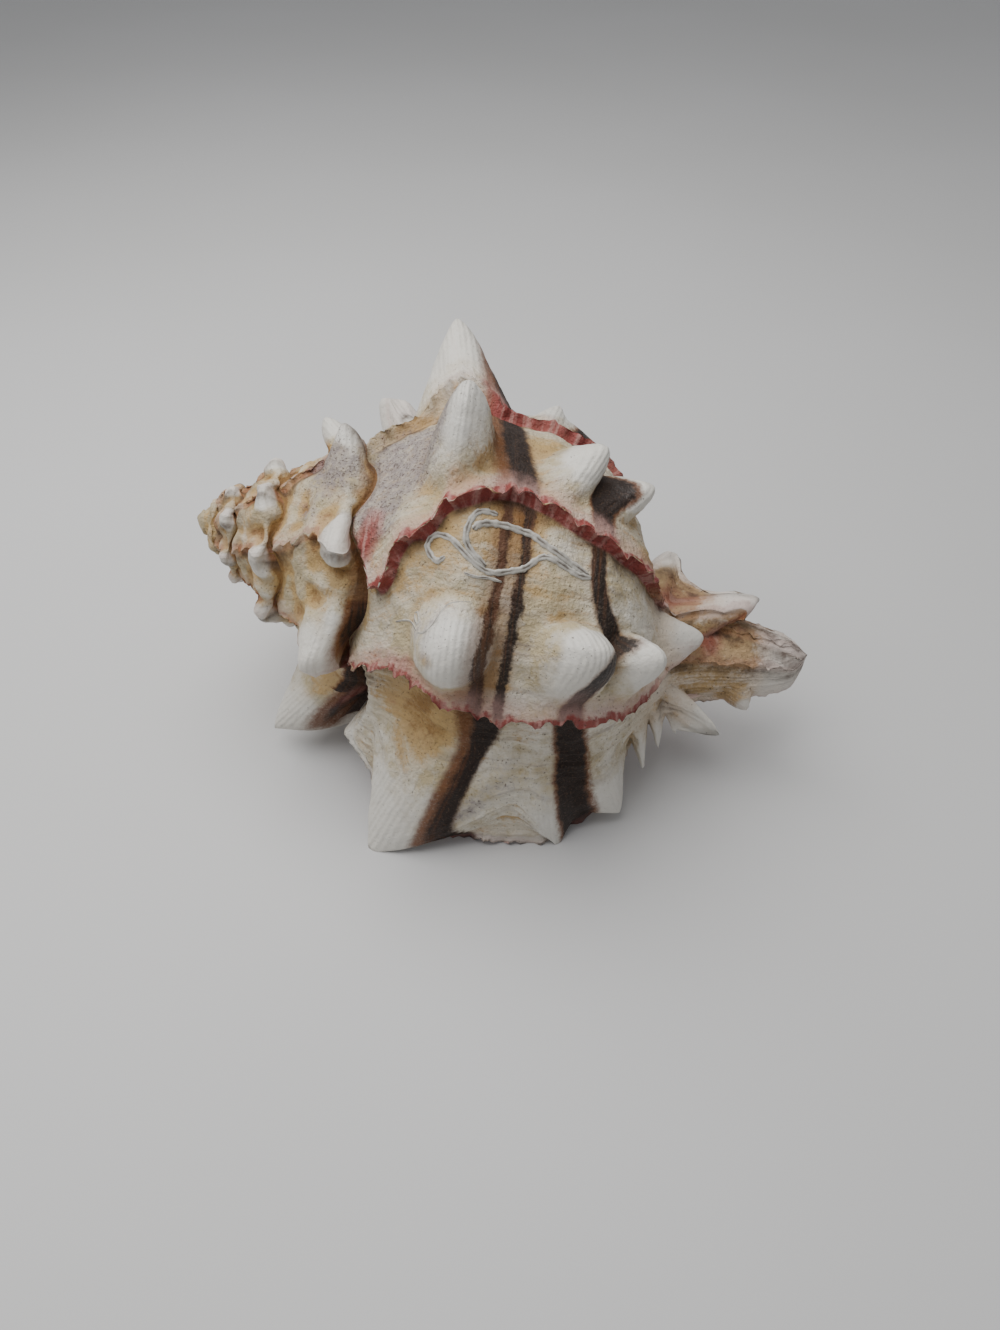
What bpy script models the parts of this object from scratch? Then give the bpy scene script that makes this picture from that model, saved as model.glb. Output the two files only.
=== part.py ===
"""Murex shell resting on its mouth, spire to -X and siphonal canal to +X, as one grown solid.

The wall of the coil is a strip that winds down from the apex. Growth is counted in degrees back
from the outer lip, so 0 is the lip, 360 is the inner lip under it, and 2160 is the apex. Across
the strip, a profile runs from the upper seam over the shoulder to the lower seam, and on the last
turn on to the tip of the canal. Each turn's lower seam is the next turn's upper seam, so the strip
is one closed skin apart from the mouth, and the mouth is lined by a pocket.
"""
import math

import bmesh
import bpy
import numpy as np
from mathutils import Vector

NAME = "murex_shell"
MM = 0.001

# Size and pose of the coil axis, in millimetres and degrees
LENGTH = 118.0
PITCH = 9.0
LIP_ANGLE = -55.0

# Resolution of the strip
TURNS = 6
COLUMNS = 180
UPPER_ROWS = 20
LOWER_ROWS = 46
SPREAD_SAMPLES = 400
SPREAD_GROWTH = 30.0
MOST_TRIANGLES = 9400

# Where the shoulder lies along the axis, against degrees of growth back from the lip
GROWTH = (0, 36, 79, 133, 240, 360, 455, 585, 720, 801, 940, 1080, 1260, 1440, 1800, 2160)
SHOULDER = (58, 57, 53.6, 50, 43.2, 36.4, 31.5, 25.2, 19.8, 17.1, 13.1, 10.1, 7.2, 5.1, 2.1, 0)
LIP_SHOULDER_A = 57.0
LIP_SHOULDER_R = 34.0
WIDENING = 0.75
SEAM_BELOW_SHOULDER = 8.0
SEAM_TIGHTNESS = 0.96
SEAM_CLIMB = 6.2
SEAM_CLIMB_WIDTH = 15.0
SEAM_CLIMB_AHEAD = 12.0

# Profile below the shoulder as (distance along the axis, radius), at the lip and at three growths back
BASE_GROWTH = (0, 60, 150, 360)
LIP_BASE = ((73, 33.4), (80.5, 30.0), (86, 24.0), (90.5, 17.5),
            (95.5, 13.6), (102, 11.2), (109, 9.0), (115, 6.2), (118, 0))
FRONT_BASE = ((70, 32.0), (78, 30.0), (84, 25.0), (88, 16.5), (92, 10.5),
              (99, 8.0), (107, 6.0), (114, 3.6), (118, 0))
BACK_BASE = ((63.5, 29.5), (72, 27.2), (78.5, 21.5), (82, 12.0),
             (85.5, 6.0), (93, 4.4), (104, 3.0), (112, 2.0), (118, 0))
INNER_BASE = ((49, 22.0), (56, 19.0), (61, 14.0), (65.5, 9.0),
              (71, 6.4), (82, 4.6), (98, 3.4), (112, 2.0), (118, 0))

# Frilled edges left by each pause in growth, in degrees back from the lip
EDGES = (0, 60, 121, 178, 233, 288, 342, 410, 462, 513, 562, 610, 658, 706, 754, 802, 850, 898, 946, 994,
         1042, 1090, 1138, 1186, 1234, 1282, 1330, 1378)
EDGE_HEIGHT = 3.0
WORN_EDGE = 0.55
EDGE_SWEEP = 16.0
EDGE_FALL = 10.0
EDGE_CURL = 2.0
CURL_SHARE = 0.28
EDGE_LEAN = 0.7
EDGE_STEP = 0.9
GATHER_WIDTH = 7.0
GATHER_POWER = 1.9
# Broad flare of a whole edge as (growth, height, degrees over which it rises, degrees it turns outwards)
FLARES = ((0, 9.3, 52.0, 19.0), (60, 0.8, 30.0, 0.0), (342, 4.5, 36.0, 5.0))

# Mouth: wall thicknesses, and the pocket behind it, which turns into an oval tunnel
WALL = 2.2
INNER_WALL = 0.8
INNER_LIP = 358.0
POCKET_START = 0.8
POCKET_DEPTH = 150.0
POCKET_LOOPS = 16
POCKET_NARROWS = 0.55
TUNNEL_FROM = 0.45
TUNNEL_CENTRE = (62.0, 25.5)
TUNNEL_HALF = (11.5, 4.6)

# Depth worn flat where the shell touches the floor
REST_CUT = 0.5

# Knot numbers of the profile, which are also its parameters
SHOULDER_KNOT = 2.0
SEAM_KNOT = 3.0
TIP_KNOT = 12.0


def hermite(x, xs, ys):
    """Smooth curve through (xs, ys), without overshoot at the ends."""
    xs = np.asarray(xs, float)
    ys = np.asarray(ys, float)
    slope = np.gradient(ys, xs)
    x = np.clip(x, xs[0], xs[-1])
    i = np.clip(np.searchsorted(xs, x, side="right") - 1, 0, len(xs) - 2)
    step = xs[i + 1] - xs[i]
    t = (x - xs[i]) / step
    a = 2 * t**3 - 3 * t**2 + 1
    b = t**3 - 2 * t**2 + t
    c = -2 * t**3 + 3 * t**2
    d = t**3 - t**2
    return a * ys[i] + b * step * slope[i] + c * ys[i + 1] + d * step * slope[i + 1]


def ease(x):
    """0 below 0, 1 above 1, smooth between."""
    x = np.clip(x, 0.0, 1.0)
    return x * x * (3 - 2 * x)


def clear_of_seams(beta, u, upper, lower):
    """0 on the seams and 1 away from them, over the given widths of the profile's parameter."""
    return ease(u / upper) * np.where(beta >= 360, ease((SEAM_KNOT - u) / lower), 1.0)


def shoulder(beta):
    """Distance along the axis and radius of the shoulder, and the size of the turn against the lip's."""
    along = np.maximum(hermite(beta, GROWTH, SHOULDER), 0.0)
    size = (along / LIP_SHOULDER_A) ** WIDENING
    return along, LIP_SHOULDER_R * size, size


def lower_seam(beta):
    """The seam under a turn, which lifts towards the apex where the next turn's edge grips it."""
    along, radius, size = shoulder(beta)
    tight = 1 - (1 - SEAM_TIGHTNESS) * ease(beta / 360.0)
    lift = np.zeros_like(along)
    for edge in EDGES:
        off = (beta - 360.0 - edge + SEAM_CLIMB_AHEAD) / SEAM_CLIMB_WIDTH
        lift = np.maximum(lift, np.exp(-off * off))
    lift = lift * ease((beta - 330.0) / 30.0) * ease((along - 1.0) / 4.0)
    return along + (SEAM_BELOW_SHOULDER - SEAM_CLIMB * lift) * size, radius * tight * (1 - 0.05 * lift)


def profile_knots(beta):
    """Knots of the profile as (distance along the axis, radius) arrays, from the upper seam down."""
    along, radius, size = shoulder(beta)
    top = lower_seam(beta + 360.0)
    seam = lower_seam(beta)
    knots = [top]
    knots.append((0.52 * top[0] + 0.48 * along - 0.2 * size, 0.48 * top[1] + 0.52 * radius + 0.3 * size))
    knots.append((along, radius))
    knots.append(seam)
    for stages in zip(LIP_BASE, FRONT_BASE, BACK_BASE, INNER_BASE):
        knots.append(tuple(hermite(beta, BASE_GROWTH, [stage[i] for stage in stages]) for i in (0, 1)))
    hidden = ease((beta - 355.0) / 20.0)
    under = (seam[0] + 6.0 * size, seam[1] * 0.96)
    knots[4] = tuple(k + (h - k) * hidden for k, h in zip(knots[4], under))
    return knots


def profile_at(beta, u):
    """Point of the profile at parameter u, where knot number k is at u = k, as (along, radius)."""
    knots = profile_knots(beta)
    first = np.clip(np.floor(u), 0, len(knots) - 2).astype(int)
    t = u - first
    out = []
    for axis in (0, 1):
        values = np.stack([np.broadcast_to(k[axis], u.shape) for k in knots])
        before = np.take_along_axis(values, np.maximum(first - 1, 0)[None], 0)[0]
        start = np.take_along_axis(values, first[None], 0)[0]
        end = np.take_along_axis(values, (first + 1)[None], 0)[0]
        after = np.take_along_axis(values, np.minimum(first + 2, len(knots) - 1)[None], 0)[0]
        m0 = (end - before) / 2
        m1 = (after - start) / 2
        out.append((2 * t**3 - 3 * t**2 + 1) * start + (t**3 - 2 * t**2 + t) * m0
                   + (3 * t**2 - 2 * t**3) * end + (t**3 - t**2) * m1)
    return out[0], np.maximum(out[1], 0.0)


def spread(count, start, end):
    """Evenly spaced profile parameters, by arc length measured on the lip's profile."""
    u = np.linspace(start, end, SPREAD_SAMPLES)
    along, radius = profile_at(np.full_like(u, SPREAD_GROWTH), u)
    length = np.concatenate([[0], np.cumsum(np.hypot(np.diff(along), np.diff(radius)))])
    return np.interp(np.linspace(0, length[-1], count + 1), length, u)


# Spines as: growth of the base, distance along the axis of the base, tip (along, radius, angle round the
# axis from the front, 90 up), half widths of the base along and round, and bluntness (1 pointed, 2 round)
SPINES = (
    # outer lip
    (20, 56.0, (46.0, 53.5, -38), 12.0, 13.0, 1.15),
    (17, 74.5, (79.7, 45.0, -38), 6.0, 7.5, 1.15),
    (16, 82.5, (89.5, 36.5, -38), 6.5, 8.0, 1.25),
    (14, 88.5, (92.6, 28.5, -42), 2.8, 5.5, 1.10),
    (12, 91.4, (94.5, 24.0, -44), 2.4, 5.0, 1.10),
    (12, 94.6, (97.0, 20.5, -44), 2.6, 5.0, 1.10),
    (16, 98.5, (105.0, 18.5, -36), 4.6, 6.0, 1.15),
    (10, 106.5, (109.0, 12.8, -46), 2.4, 4.0, 1.8),
    # first varix back
    (79, 53.6, (53.0, 42.5, 24), 7.2, 8.5, 2.6),
    (79, 73.0, (78.2, 38.5, 30), 5.4, 7.5, 2.3),
    (79, 81.0, (87.0, 33.0, 31), 4.6, 6.5, 2.2),
    (84, 89.0, (96.0, 11.5, 36), 5.5, 6.0, 2.0),
    # second varix back
    (138, 48.3, (47.8, 42.5, 85), 7.8, 10.0, 1.9),
    (138, 66.0, (71.0, 35.2, 88), 5.0, 6.5, 1.8),
    (138, 74.0, (80.3, 30.3, 86), 4.2, 5.5, 1.8),
    (150, 95.0, (104.5, 9.8, 100), 4.5, 4.5, 1.7),
    # third varix back
    (195, 45.0, (39.0, 49.0, 140), 12.0, 11.0, 1.3),
    (195, 60.0, (62.0, 37.5, 145), 6.0, 7.5, 1.5),
    (195, 67.0, (73.0, 31.0, 145), 5.0, 6.5, 1.6),
    (205, 87.0, (89.3, 14.0, 150), 5.0, 5.0, 2.2),
    # fourth varix back
    (240, 42.0, (24.8, 43.5, 172), 7.0, 9.0, 1.8),
    (250, 56.0, (59.0, 33.0, 196), 5.5, 6.5, 1.5),
    (250, 63.0, (68.0, 27.0, 196), 4.6, 5.5, 1.5),
    # fifth varix back, underneath
    (305, 39.5, (35.0, 36.8, 250), 6.5, 8.0, 1.6),
    (305, 52.5, (56.0, 33.6, 250), 5.0, 6.0, 1.6),
    (305, 59.0, (63.0, 24.0, 250), 4.0, 5.0, 1.5),
    # previous turn
    (360, 34.0, (21.5, 37.0, -55), 11.0, 11.0, 1.2),
    (415, 31.5, (29.0, 30.5, -3), 7.0, 8.0, 1.3),
    (460, 31.0, (31.0, 26.0, 40), 4.0, 4.5, 2.4),
    (505, 28.0, (26.0, 25.6, 98), 4.4, 4.6, 1.6),
    (552, 25.0, (19.0, 24.0, 140), 4.2, 5.0, 1.6),
    (600, 24.0, (20.0, 23.0, 190), 4.0, 4.6, 1.6),
    (650, 22.0, (17.5, 21.0, 240), 3.8, 4.4, 1.6),
)
# Blunt knobs at the shoulder of the older turns, sized to their turn
KNOBS_FROM = 700
KNOBS_TO = 1400
KNOB_SPACING = 48.0
KNOB_HEIGHT = 4.6
KNOB_WIDTH = 7.5
KNOB_LEAN = 0.1
KNOB_BLUNTNESS = 1.9
# Reach of a spine's pull in degrees of growth, its samples along the profile, and the exponent of its flank
SPINE_REACH = 100.0
SPINE_SAMPLES = 600
SPINE_FLANK = (1.55, 0.22)
# Growth from which a spine belongs to an older turn, which ends at its lower seam
OLDER_TURN = 365.0
# Low spiral cords as (profile parameter, height, width)
CORDS = ((2.0, 0.8, 0.45), (4.0, 0.5, 0.3), (5.0, 0.5, 0.3), (3.0, 0.35, 0.3))


def knob_list():
    """The worn knobs of the oldest turns, in the same form as the spines."""
    found = []
    beta = KNOBS_FROM
    while beta < KNOBS_TO:
        along, radius, size = (float(v) for v in shoulder(np.asarray(float(beta))))
        tip = (along * (1 - KNOB_LEAN), radius + KNOB_HEIGHT * size, LIP_ANGLE + beta)
        found.append((beta, along, tip, KNOB_WIDTH * size, KNOB_WIDTH * size, KNOB_BLUNTNESS))
        beta += KNOB_SPACING
    return found


def swept(beta, u):
    """Growth angle at which a growth line is counted: near the upper seam the lines sweep forwards."""
    return beta + EDGE_SWEEP * (1 - ease(u / 1.4)) * ease(u / 0.2)


def gathered(turn_angle, u):
    """Growth angle of each column, drawn together at the frilled edges so that their step is sharp."""
    beta = turn_angle.copy()
    inside = clear_of_seams(turn_angle, u, 0.5, 0.5)
    for edge in EDGES[1:]:
        ahead = swept(turn_angle, u) - edge
        off = ahead / GATHER_WIDTH
        near = np.abs(off) < 1
        pulled = np.sign(off) * np.abs(off) ** GATHER_POWER * GATHER_WIDTH
        beta = np.where(near, turn_angle + (pulled - ahead) * inside, beta)
    return beta


def to_space(along, radius, angle):
    """Shell coordinates to points in millimetres, the middle of the axis at the origin."""
    pitch = math.radians(PITCH)
    turn = np.radians(angle)
    x = along - LENGTH / 2
    y = -radius * np.cos(turn)
    z = radius * np.sin(turn)
    tilted_x = x * math.cos(pitch) + z * math.sin(pitch)
    tilted_z = z * math.cos(pitch) - x * math.sin(pitch)
    return np.stack([tilted_x, y, tilted_z], -1)


def edge_relief(beta, radius, u):
    """Height and forward lean of the frilled edges: a slow swell, then a sharp drop on the younger side."""
    size = shoulder(beta)[2]
    height = np.zeros_like(beta)
    lean = np.zeros_like(beta)
    worn = 1 - (1 - WORN_EDGE) * ease((beta - 350.0) / 60.0)
    for edge in EDGES:
        off = np.radians(swept(beta, u) - edge) * np.maximum(radius, 2.0)
        older = off >= 0
        step = np.clip(1 + off / EDGE_STEP, 0, 1)
        fall = np.where(older, np.exp(-np.maximum(off, 0) / (EDGE_FALL * size + 0.01)), step)
        curl = np.where(older, np.exp(-np.maximum(off, 0) / (EDGE_CURL * size + 0.01)), step)
        swell = (1 - CURL_SHARE) * fall + CURL_SHARE * curl
        height = np.maximum(height, EDGE_HEIGHT * worn * size * swell)
        lean = np.maximum(lean, curl)
    inside = clear_of_seams(beta, u, 0.45, 0.6)
    inside = inside * (1 - 0.45 * ease((u - 6.5) / 2.0)) * (1 - ease((u - 11.0) / 1.0))
    return height * inside + flare(beta, radius, u)[0], lean * inside * size


def flare(beta, radius, u):
    """Height of the wide flares, tallest below the shoulder, and how far they turn outwards."""
    tall = np.zeros_like(beta)
    turned = np.zeros_like(beta)
    for edge, height, reach, outwards in FLARES:
        off = (swept(beta, u) if edge else beta) - edge
        rise = np.clip(1 - off / reach, 0, 1)
        rise = np.where(off >= 0, rise * ease(rise * 2.5) * (0.7 + 0.3 * rise),
                        np.clip(1 + np.radians(off) * radius / EDGE_STEP, 0, 1))
        tall = np.maximum(tall, height * rise)
        turned = np.maximum(turned, outwards * rise)
    inside = clear_of_seams(beta, u, 0.5, 1.0) * (1 - ease((u - 3.6) / 3.2))
    return tall * inside, turned * inside


def skin(turn_angle, u):
    """Points of the outside for arrays of column angle and profile parameter."""
    beta = gathered(turn_angle, u)
    points = bare(beta, u)
    along, radius = profile_at(beta, u)
    inside = clear_of_seams(beta, u, 0.45, 0.6)
    for spine in tuple(SPINES) + tuple(knob_list()):
        points = points + spine_shift(spine, beta, u, along, radius) * inside[..., None]
    return points


def bare(beta, u):
    """Points of the outside without its spines."""
    along, radius = profile_at(beta, u)
    height, lean = edge_relief(beta, radius, u)
    ahead_a, ahead_r = profile_at(beta, u + 0.02)
    slope_a = ahead_a - along
    slope_r = ahead_r - radius
    slope = np.hypot(slope_a, slope_r) + 1e-9
    out_a = -slope_r / slope
    out_r = slope_a / slope
    size = shoulder(beta)[2]
    inside = clear_of_seams(beta, u, 0.45, 0.6)
    for centre, tall, wide in CORDS:
        height = height + tall * size * inside * np.exp(-((u - centre) / wide) ** 2)
    leaning = np.degrees(EDGE_LEAN * lean / np.maximum(radius, 3.0))
    angle = LIP_ANGLE + beta + flare(beta, radius, u)[1] - leaning
    return to_space(along + out_a * height, np.maximum(radius + out_r * height, 0.0), angle)


def spine_shift(spine, beta, u, along, radius):
    """How far one spine draws each point of the skin towards its tip."""
    base_beta, base_a, tip, half_along, half_round, blunt = spine
    rows = np.linspace(0, TIP_KNOT, SPINE_SAMPLES)
    line_a, line_r = profile_at(np.full_like(rows, float(base_beta)), rows)
    last = SEAM_KNOT if base_beta >= OLDER_TURN else TIP_KNOT
    usable = (rows <= last) & (rows > 0.3)
    k = np.argmin(np.where(usable, np.abs(line_a - base_a), np.inf))
    base_r = line_r[k]
    base = bare(np.array([float(base_beta)]), rows[k:k + 1])[0]
    top = to_space(tip[0], tip[1], tip[2])
    across = np.radians(beta - base_beta) * base_r / half_round
    same_turn = np.abs(beta - base_beta) < SPINE_REACH
    down = np.hypot(along - line_a[k], radius - base_r) / half_along
    distance = np.hypot(across, down)
    flank = SPINE_FLANK[0] - SPINE_FLANK[1] * blunt
    share = np.where(same_turn, np.clip(1 - distance**blunt, 0, 1) ** flank, 0.0)
    return share[..., None] * (top - base)


def resample(points, count, share):
    """Points of a line at the given shares of its length in steps."""
    steps = np.linspace(0, 1, count)
    return np.stack([np.interp(share, steps, points[:, i]) for i in (0, 1)], -1)


def inset(points, middle, wall):
    """Points moved in from a wall, but never past the middle of the gap."""
    gap = np.linalg.norm(points - middle, axis=1, keepdims=True) + 1e-6
    return points + (middle - points) * np.minimum(0.94, wall / gap)


def pocket_loops(lip_rows, inner_rows):
    """Loops of points lining the mouth, from just inside its rim back into the last turn."""
    lip_share = np.linspace(0, 1, len(lip_rows))
    inner_share = np.linspace(1, 0, len(inner_rows))[1:-1]
    columella = np.stack(profile_at(np.full_like(inner_rows, INNER_LIP), inner_rows), -1)
    columella = resample(columella, len(inner_rows), lip_share)
    theta = np.concatenate([math.pi * (1 - lip_share), math.pi * (inner_share - 1)])
    loops = []
    for k in range(POCKET_LOOPS):
        t = k / (POCKET_LOOPS - 1)
        depth = POCKET_START + POCKET_DEPTH * t**1.5
        outer = np.stack(profile_at(np.full_like(lip_rows, depth), lip_rows), -1)
        widened, turned = flare(np.full_like(lip_rows, depth), outer[:, 1], lip_rows)
        outer[:, 1] += widened
        middle = 0.5 * (outer + columella)
        inner = resample(columella, len(lip_rows), inner_share)
        inner_middle = resample(middle, len(lip_rows), inner_share)
        around = np.concatenate([inset(outer, middle, WALL), inset(inner, inner_middle, INNER_WALL)])
        size = shoulder(np.asarray(depth))[2]
        centre = np.array(TUNNEL_CENTRE) * size
        ring = centre + np.stack([np.cos(theta), np.sin(theta)], -1) * np.array(TUNNEL_HALF) * size
        morph = ease(t / TUNNEL_FROM)
        shape = around + (ring - around) * morph
        shape = centre + (shape - centre) * (1 - POCKET_NARROWS * ease(2 * t - 1))
        outwards = np.concatenate([turned, np.zeros(len(inner))]) * (1 - morph)
        loops.append(to_space(shape[:, 0], shape[:, 1], LIP_ANGLE + depth + outwards))
    return loops


def shell_mesh():
    """The strip, stitched turn to turn, with the mouth lined by its pocket."""
    upper = spread(UPPER_ROWS, 0.0, SEAM_KNOT)
    lower = spread(LOWER_ROWS, SEAM_KNOT, TIP_KNOT)
    rows = np.concatenate([upper, lower[1:]])
    seam_row = UPPER_ROWS
    last_row = len(rows) - 1
    total = COLUMNS * TURNS
    degrees = 360.0 * np.arange(total + 1) / COLUMNS
    old = skin(*np.meshgrid(degrees, upper, indexing="ij"))
    new = skin(*np.meshgrid(degrees[:COLUMNS + 1], rows, indexing="ij"))
    mesh = bmesh.new()
    apex = mesh.verts.new(Vector(to_space(0.0, 0.0, 0.0)))
    tip = mesh.verts.new(Vector(to_space(LENGTH, 0.0, 0.0)))
    grid = {}

    def vertex(column, row):
        if row == last_row:
            return tip
        if column == total:
            return apex
        if row == 0:
            if column + COLUMNS >= total:
                return apex
            return vertex(column + COLUMNS, seam_row)
        key = (column, row)
        if key not in grid:
            source = new if column <= COLUMNS else old
            grid[key] = mesh.verts.new(Vector(source[column, row]))
        return grid[key]

    def face(corners):
        kept = []
        for corner in corners:
            if corner not in kept:
                kept.append(corner)
        if len(kept) > 2:
            mesh.faces.new(kept)

    for column in range(total):
        for row in range(last_row if column < COLUMNS else seam_row):
            ring = [(column, row), (column, row + 1), (column + 1, row + 1), (column + 1, row)]
            face([vertex(*place) for place in ring])

    rim = [vertex(0, row) for row in range(last_row + 1)]
    rim += [vertex(COLUMNS, row) for row in range(last_row - 1, seam_row, -1)]
    before = rim
    for points in pocket_loops(rows, rows[seam_row:]):
        ring = [mesh.verts.new(Vector(point)) for point in points]
        for i in range(len(ring)):
            j = (i + 1) % len(ring)
            mesh.faces.new([before[j], before[i], ring[i], ring[j]])
        before = ring
    end = mesh.verts.new(sum((v.co for v in before), Vector()) / len(before))
    for i in range(len(before)):
        mesh.faces.new([before[(i + 1) % len(before)], before[i], end])
    bmesh.ops.recalc_face_normals(mesh, faces=mesh.faces)
    return mesh


def material():
    """Chalky cream shell."""
    made = bpy.data.materials.new("chalky_shell")
    made.use_nodes = True
    surface = made.node_tree.nodes["Principled BSDF"]
    surface.inputs["Base Color"].default_value = (0.74, 0.66, 0.55, 1.0)
    surface.inputs["Roughness"].default_value = 0.55
    surface.inputs["Metallic"].default_value = 0.0
    return made


def faceted(mesh):
    """The mesh with its facets merged down to the number kept."""
    data = bpy.data.meshes.new("fine_skin")
    mesh.to_mesh(data)
    mesh.free()
    fine = bpy.data.objects.new("fine_skin", data)
    bpy.context.scene.collection.objects.link(fine)
    facets = fine.modifiers.new("facets", "DECIMATE")
    facets.ratio = MOST_TRIANGLES / len(data.polygons)
    facets.use_collapse_triangulate = True
    bpy.context.view_layer.update()
    made = bmesh.new()
    made.from_object(fine, bpy.context.evaluated_depsgraph_get())
    bpy.data.objects.remove(fine, do_unlink=True)
    bpy.data.meshes.remove(data)
    return made


def stand(mesh):
    """Sets the mesh on the floor with small worn flats, its box centred on the origin, in metres."""
    lowest = min(v.co.z for v in mesh.verts)
    bmesh.ops.translate(mesh, verts=mesh.verts, vec=Vector((0, 0, -lowest - REST_CUT)))
    whole = list(mesh.verts) + list(mesh.edges) + list(mesh.faces)
    cut = bmesh.ops.bisect_plane(mesh, geom=whole, plane_co=(0, 0, 0), plane_no=(0, 0, -1),
                                 clear_outer=True)
    rims = [e for e in cut["geom_cut"] if isinstance(e, bmesh.types.BMEdge)]
    bmesh.ops.holes_fill(mesh, edges=rims, sides=0)
    bmesh.ops.triangulate(mesh, faces=mesh.faces)
    low = [min(v.co[i] for v in mesh.verts) for i in (0, 1)]
    high = [max(v.co[i] for v in mesh.verts) for i in (0, 1)]
    middle = Vector(((low[0] + high[0]) / 2, (low[1] + high[1]) / 2, 0))
    bmesh.ops.translate(mesh, verts=mesh.verts, vec=-middle)
    bmesh.ops.scale(mesh, verts=mesh.verts, vec=(MM, MM, MM))


def main():
    for thing in list(bpy.data.objects):
        bpy.data.objects.remove(thing, do_unlink=True)
    shelf = bpy.data.collections.new(NAME)
    bpy.context.scene.collection.children.link(shelf)
    fine = shell_mesh()
    bmesh.ops.triangulate(fine, faces=fine.faces)
    mesh = faceted(fine)
    stand(mesh)
    data = bpy.data.meshes.new(NAME)
    mesh.to_mesh(data)
    mesh.free()
    data.materials.append(material())
    data.shade_smooth()
    shell = bpy.data.objects.new(NAME, data)
    shelf.objects.link(shell)


main()
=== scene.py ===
"""Dresses the murex shell for its portrait: the shell at full detail, its worm tubes, floor and light.

The shell is grown again here as the CAD part is grown, from a profile that winds round the coil axis,
with finer steps, growth ribs, frilled edges and stained bands. Growth is counted in degrees back from
the outer lip, and places along the shell in millimetres from the apex. Lengths are in millimetres
until a finished mesh is scaled to metres.
"""
import math

import bmesh
import bpy
import numpy as np
from mathutils import Matrix, Vector, noise
from mathutils.bvhtree import BVHTree


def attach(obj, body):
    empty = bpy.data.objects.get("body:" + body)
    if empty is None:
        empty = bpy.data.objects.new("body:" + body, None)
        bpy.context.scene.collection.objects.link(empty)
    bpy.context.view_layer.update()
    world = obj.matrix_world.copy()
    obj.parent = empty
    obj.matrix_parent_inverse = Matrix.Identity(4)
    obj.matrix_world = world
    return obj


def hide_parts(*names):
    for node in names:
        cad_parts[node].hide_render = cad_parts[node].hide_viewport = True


bl_info = {
    "name": "Murex shell",
    "version": (1, 0, 0),
    "blender": (4, 5, 0),
    "location": "3D View > Sidebar > Murex",
    "description": "Grows a weathered murex shell with frilled ridges, stained bands and worm tubes",
    "category": "Object",
}

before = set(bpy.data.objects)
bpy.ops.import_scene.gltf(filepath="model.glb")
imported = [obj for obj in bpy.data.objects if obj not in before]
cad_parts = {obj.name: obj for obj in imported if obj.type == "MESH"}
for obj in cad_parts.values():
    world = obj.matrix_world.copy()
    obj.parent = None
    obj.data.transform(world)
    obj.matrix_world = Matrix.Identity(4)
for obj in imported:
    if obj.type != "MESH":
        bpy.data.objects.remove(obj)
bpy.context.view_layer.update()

NODE = "murex_shell"
MM = 0.001
# Scale about the part's origin that keeps the fine relief inside the plain solid's box
FIT = 0.999
# Names of the markings that each face corner carries, and the setting of a shader range with soft ends
MARKS = ("knob", "behind", "ahead", "band_one", "band_two", "split", "dark", "ochre", "rose", "pink",
         "ashen_and_shaded", "aged", "canal")
SMOOTH = {"interpolation_type": "SMOOTHSTEP"}

# Coil axis: its length, its tilt, the lip's place round it, and its middle in the part's frame
LENGTH = 118.0
PITCH = 9.0
LIP_ANGLE = -55.0
AXIS_MIDDLE = (0.0, -0.46, 30.0)

# Knots of the profile
SHOULDER_KNOT = 2.0
SEAM_KNOT = 3.0
TIP_KNOT = 12.0

# Where the shoulder lies along the axis, against degrees of growth back from the lip
GROWTH = (0, 36, 79, 133, 240, 360, 455, 585, 720, 801, 940, 1080, 1260, 1440, 1800, 2160)
SHOULDER = (58, 57, 53.6, 50, 43.2, 36.4, 31.5, 25.2, 19.8, 17.1, 13.1, 10.1, 7.2, 5.1, 2.1, 0)
LIP_SHOULDER_A = 57.0
LIP_SHOULDER_R = 34.0
WIDENING = 0.75
SEAM_BELOW_SHOULDER = 8.0
SEAM_TIGHTNESS = 0.96
SEAM_CLIMB = 6.2
SEAM_CLIMB_WIDTH = 15.0
SEAM_CLIMB_AHEAD = 12.0
# Over how much of the profile's parameter relief dies away beside the upper and the lower seam
SEAM_FADE = (0.45, 0.6)
LEAST_RADIUS = 2.0

# Profile below the shoulder as (distance along the axis, radius), at the lip and at three growths back
BASE_GROWTH = (0, 60, 150, 360)
LIP_BASE = ((73, 33.4), (80.5, 30.0), (86, 24.0), (90.5, 17.5),
            (95.5, 13.6), (102, 11.2), (109, 9.0), (115, 6.2), (118, 0))
FRONT_BASE = ((70, 32.0), (78, 30.0), (84, 25.0), (88, 16.5), (92, 10.5),
              (99, 8.0), (107, 6.0), (114, 3.6), (118, 0))
BACK_BASE = ((63.5, 29.5), (72, 27.2), (78.5, 21.5), (82, 12.0),
             (85.5, 6.0), (93, 4.4), (104, 3.0), (112, 2.0), (118, 0))
INNER_BASE = ((49, 22.0), (56, 19.0), (61, 14.0), (65.5, 9.0),
              (71, 6.4), (82, 4.6), (98, 3.4), (112, 2.0), (118, 0))

# Frilled edges left by each pause in growth, in degrees back from the lip
EDGES = (0, 60, 121, 178, 233, 288, 342, 410, 462, 513, 562, 610, 658, 706, 754, 802, 850, 898, 946, 994,
         1042, 1090, 1138, 1186, 1234, 1282, 1330, 1378)
EDGE_HEIGHT = 3.0
WORN_EDGE = 0.55
WORN_FROM = 350.0
WORN_OVER = 60.0
EDGE_SWEEP = 16.0
EDGE_FALL = 10.0
EDGE_CURL = 2.0
CURL_SHARE = 0.28
EDGE_LEAN = 0.7
EDGE_STEP = 0.9
GATHER_WIDTH = 7.0
GATHER_POWER = 2.3
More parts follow.
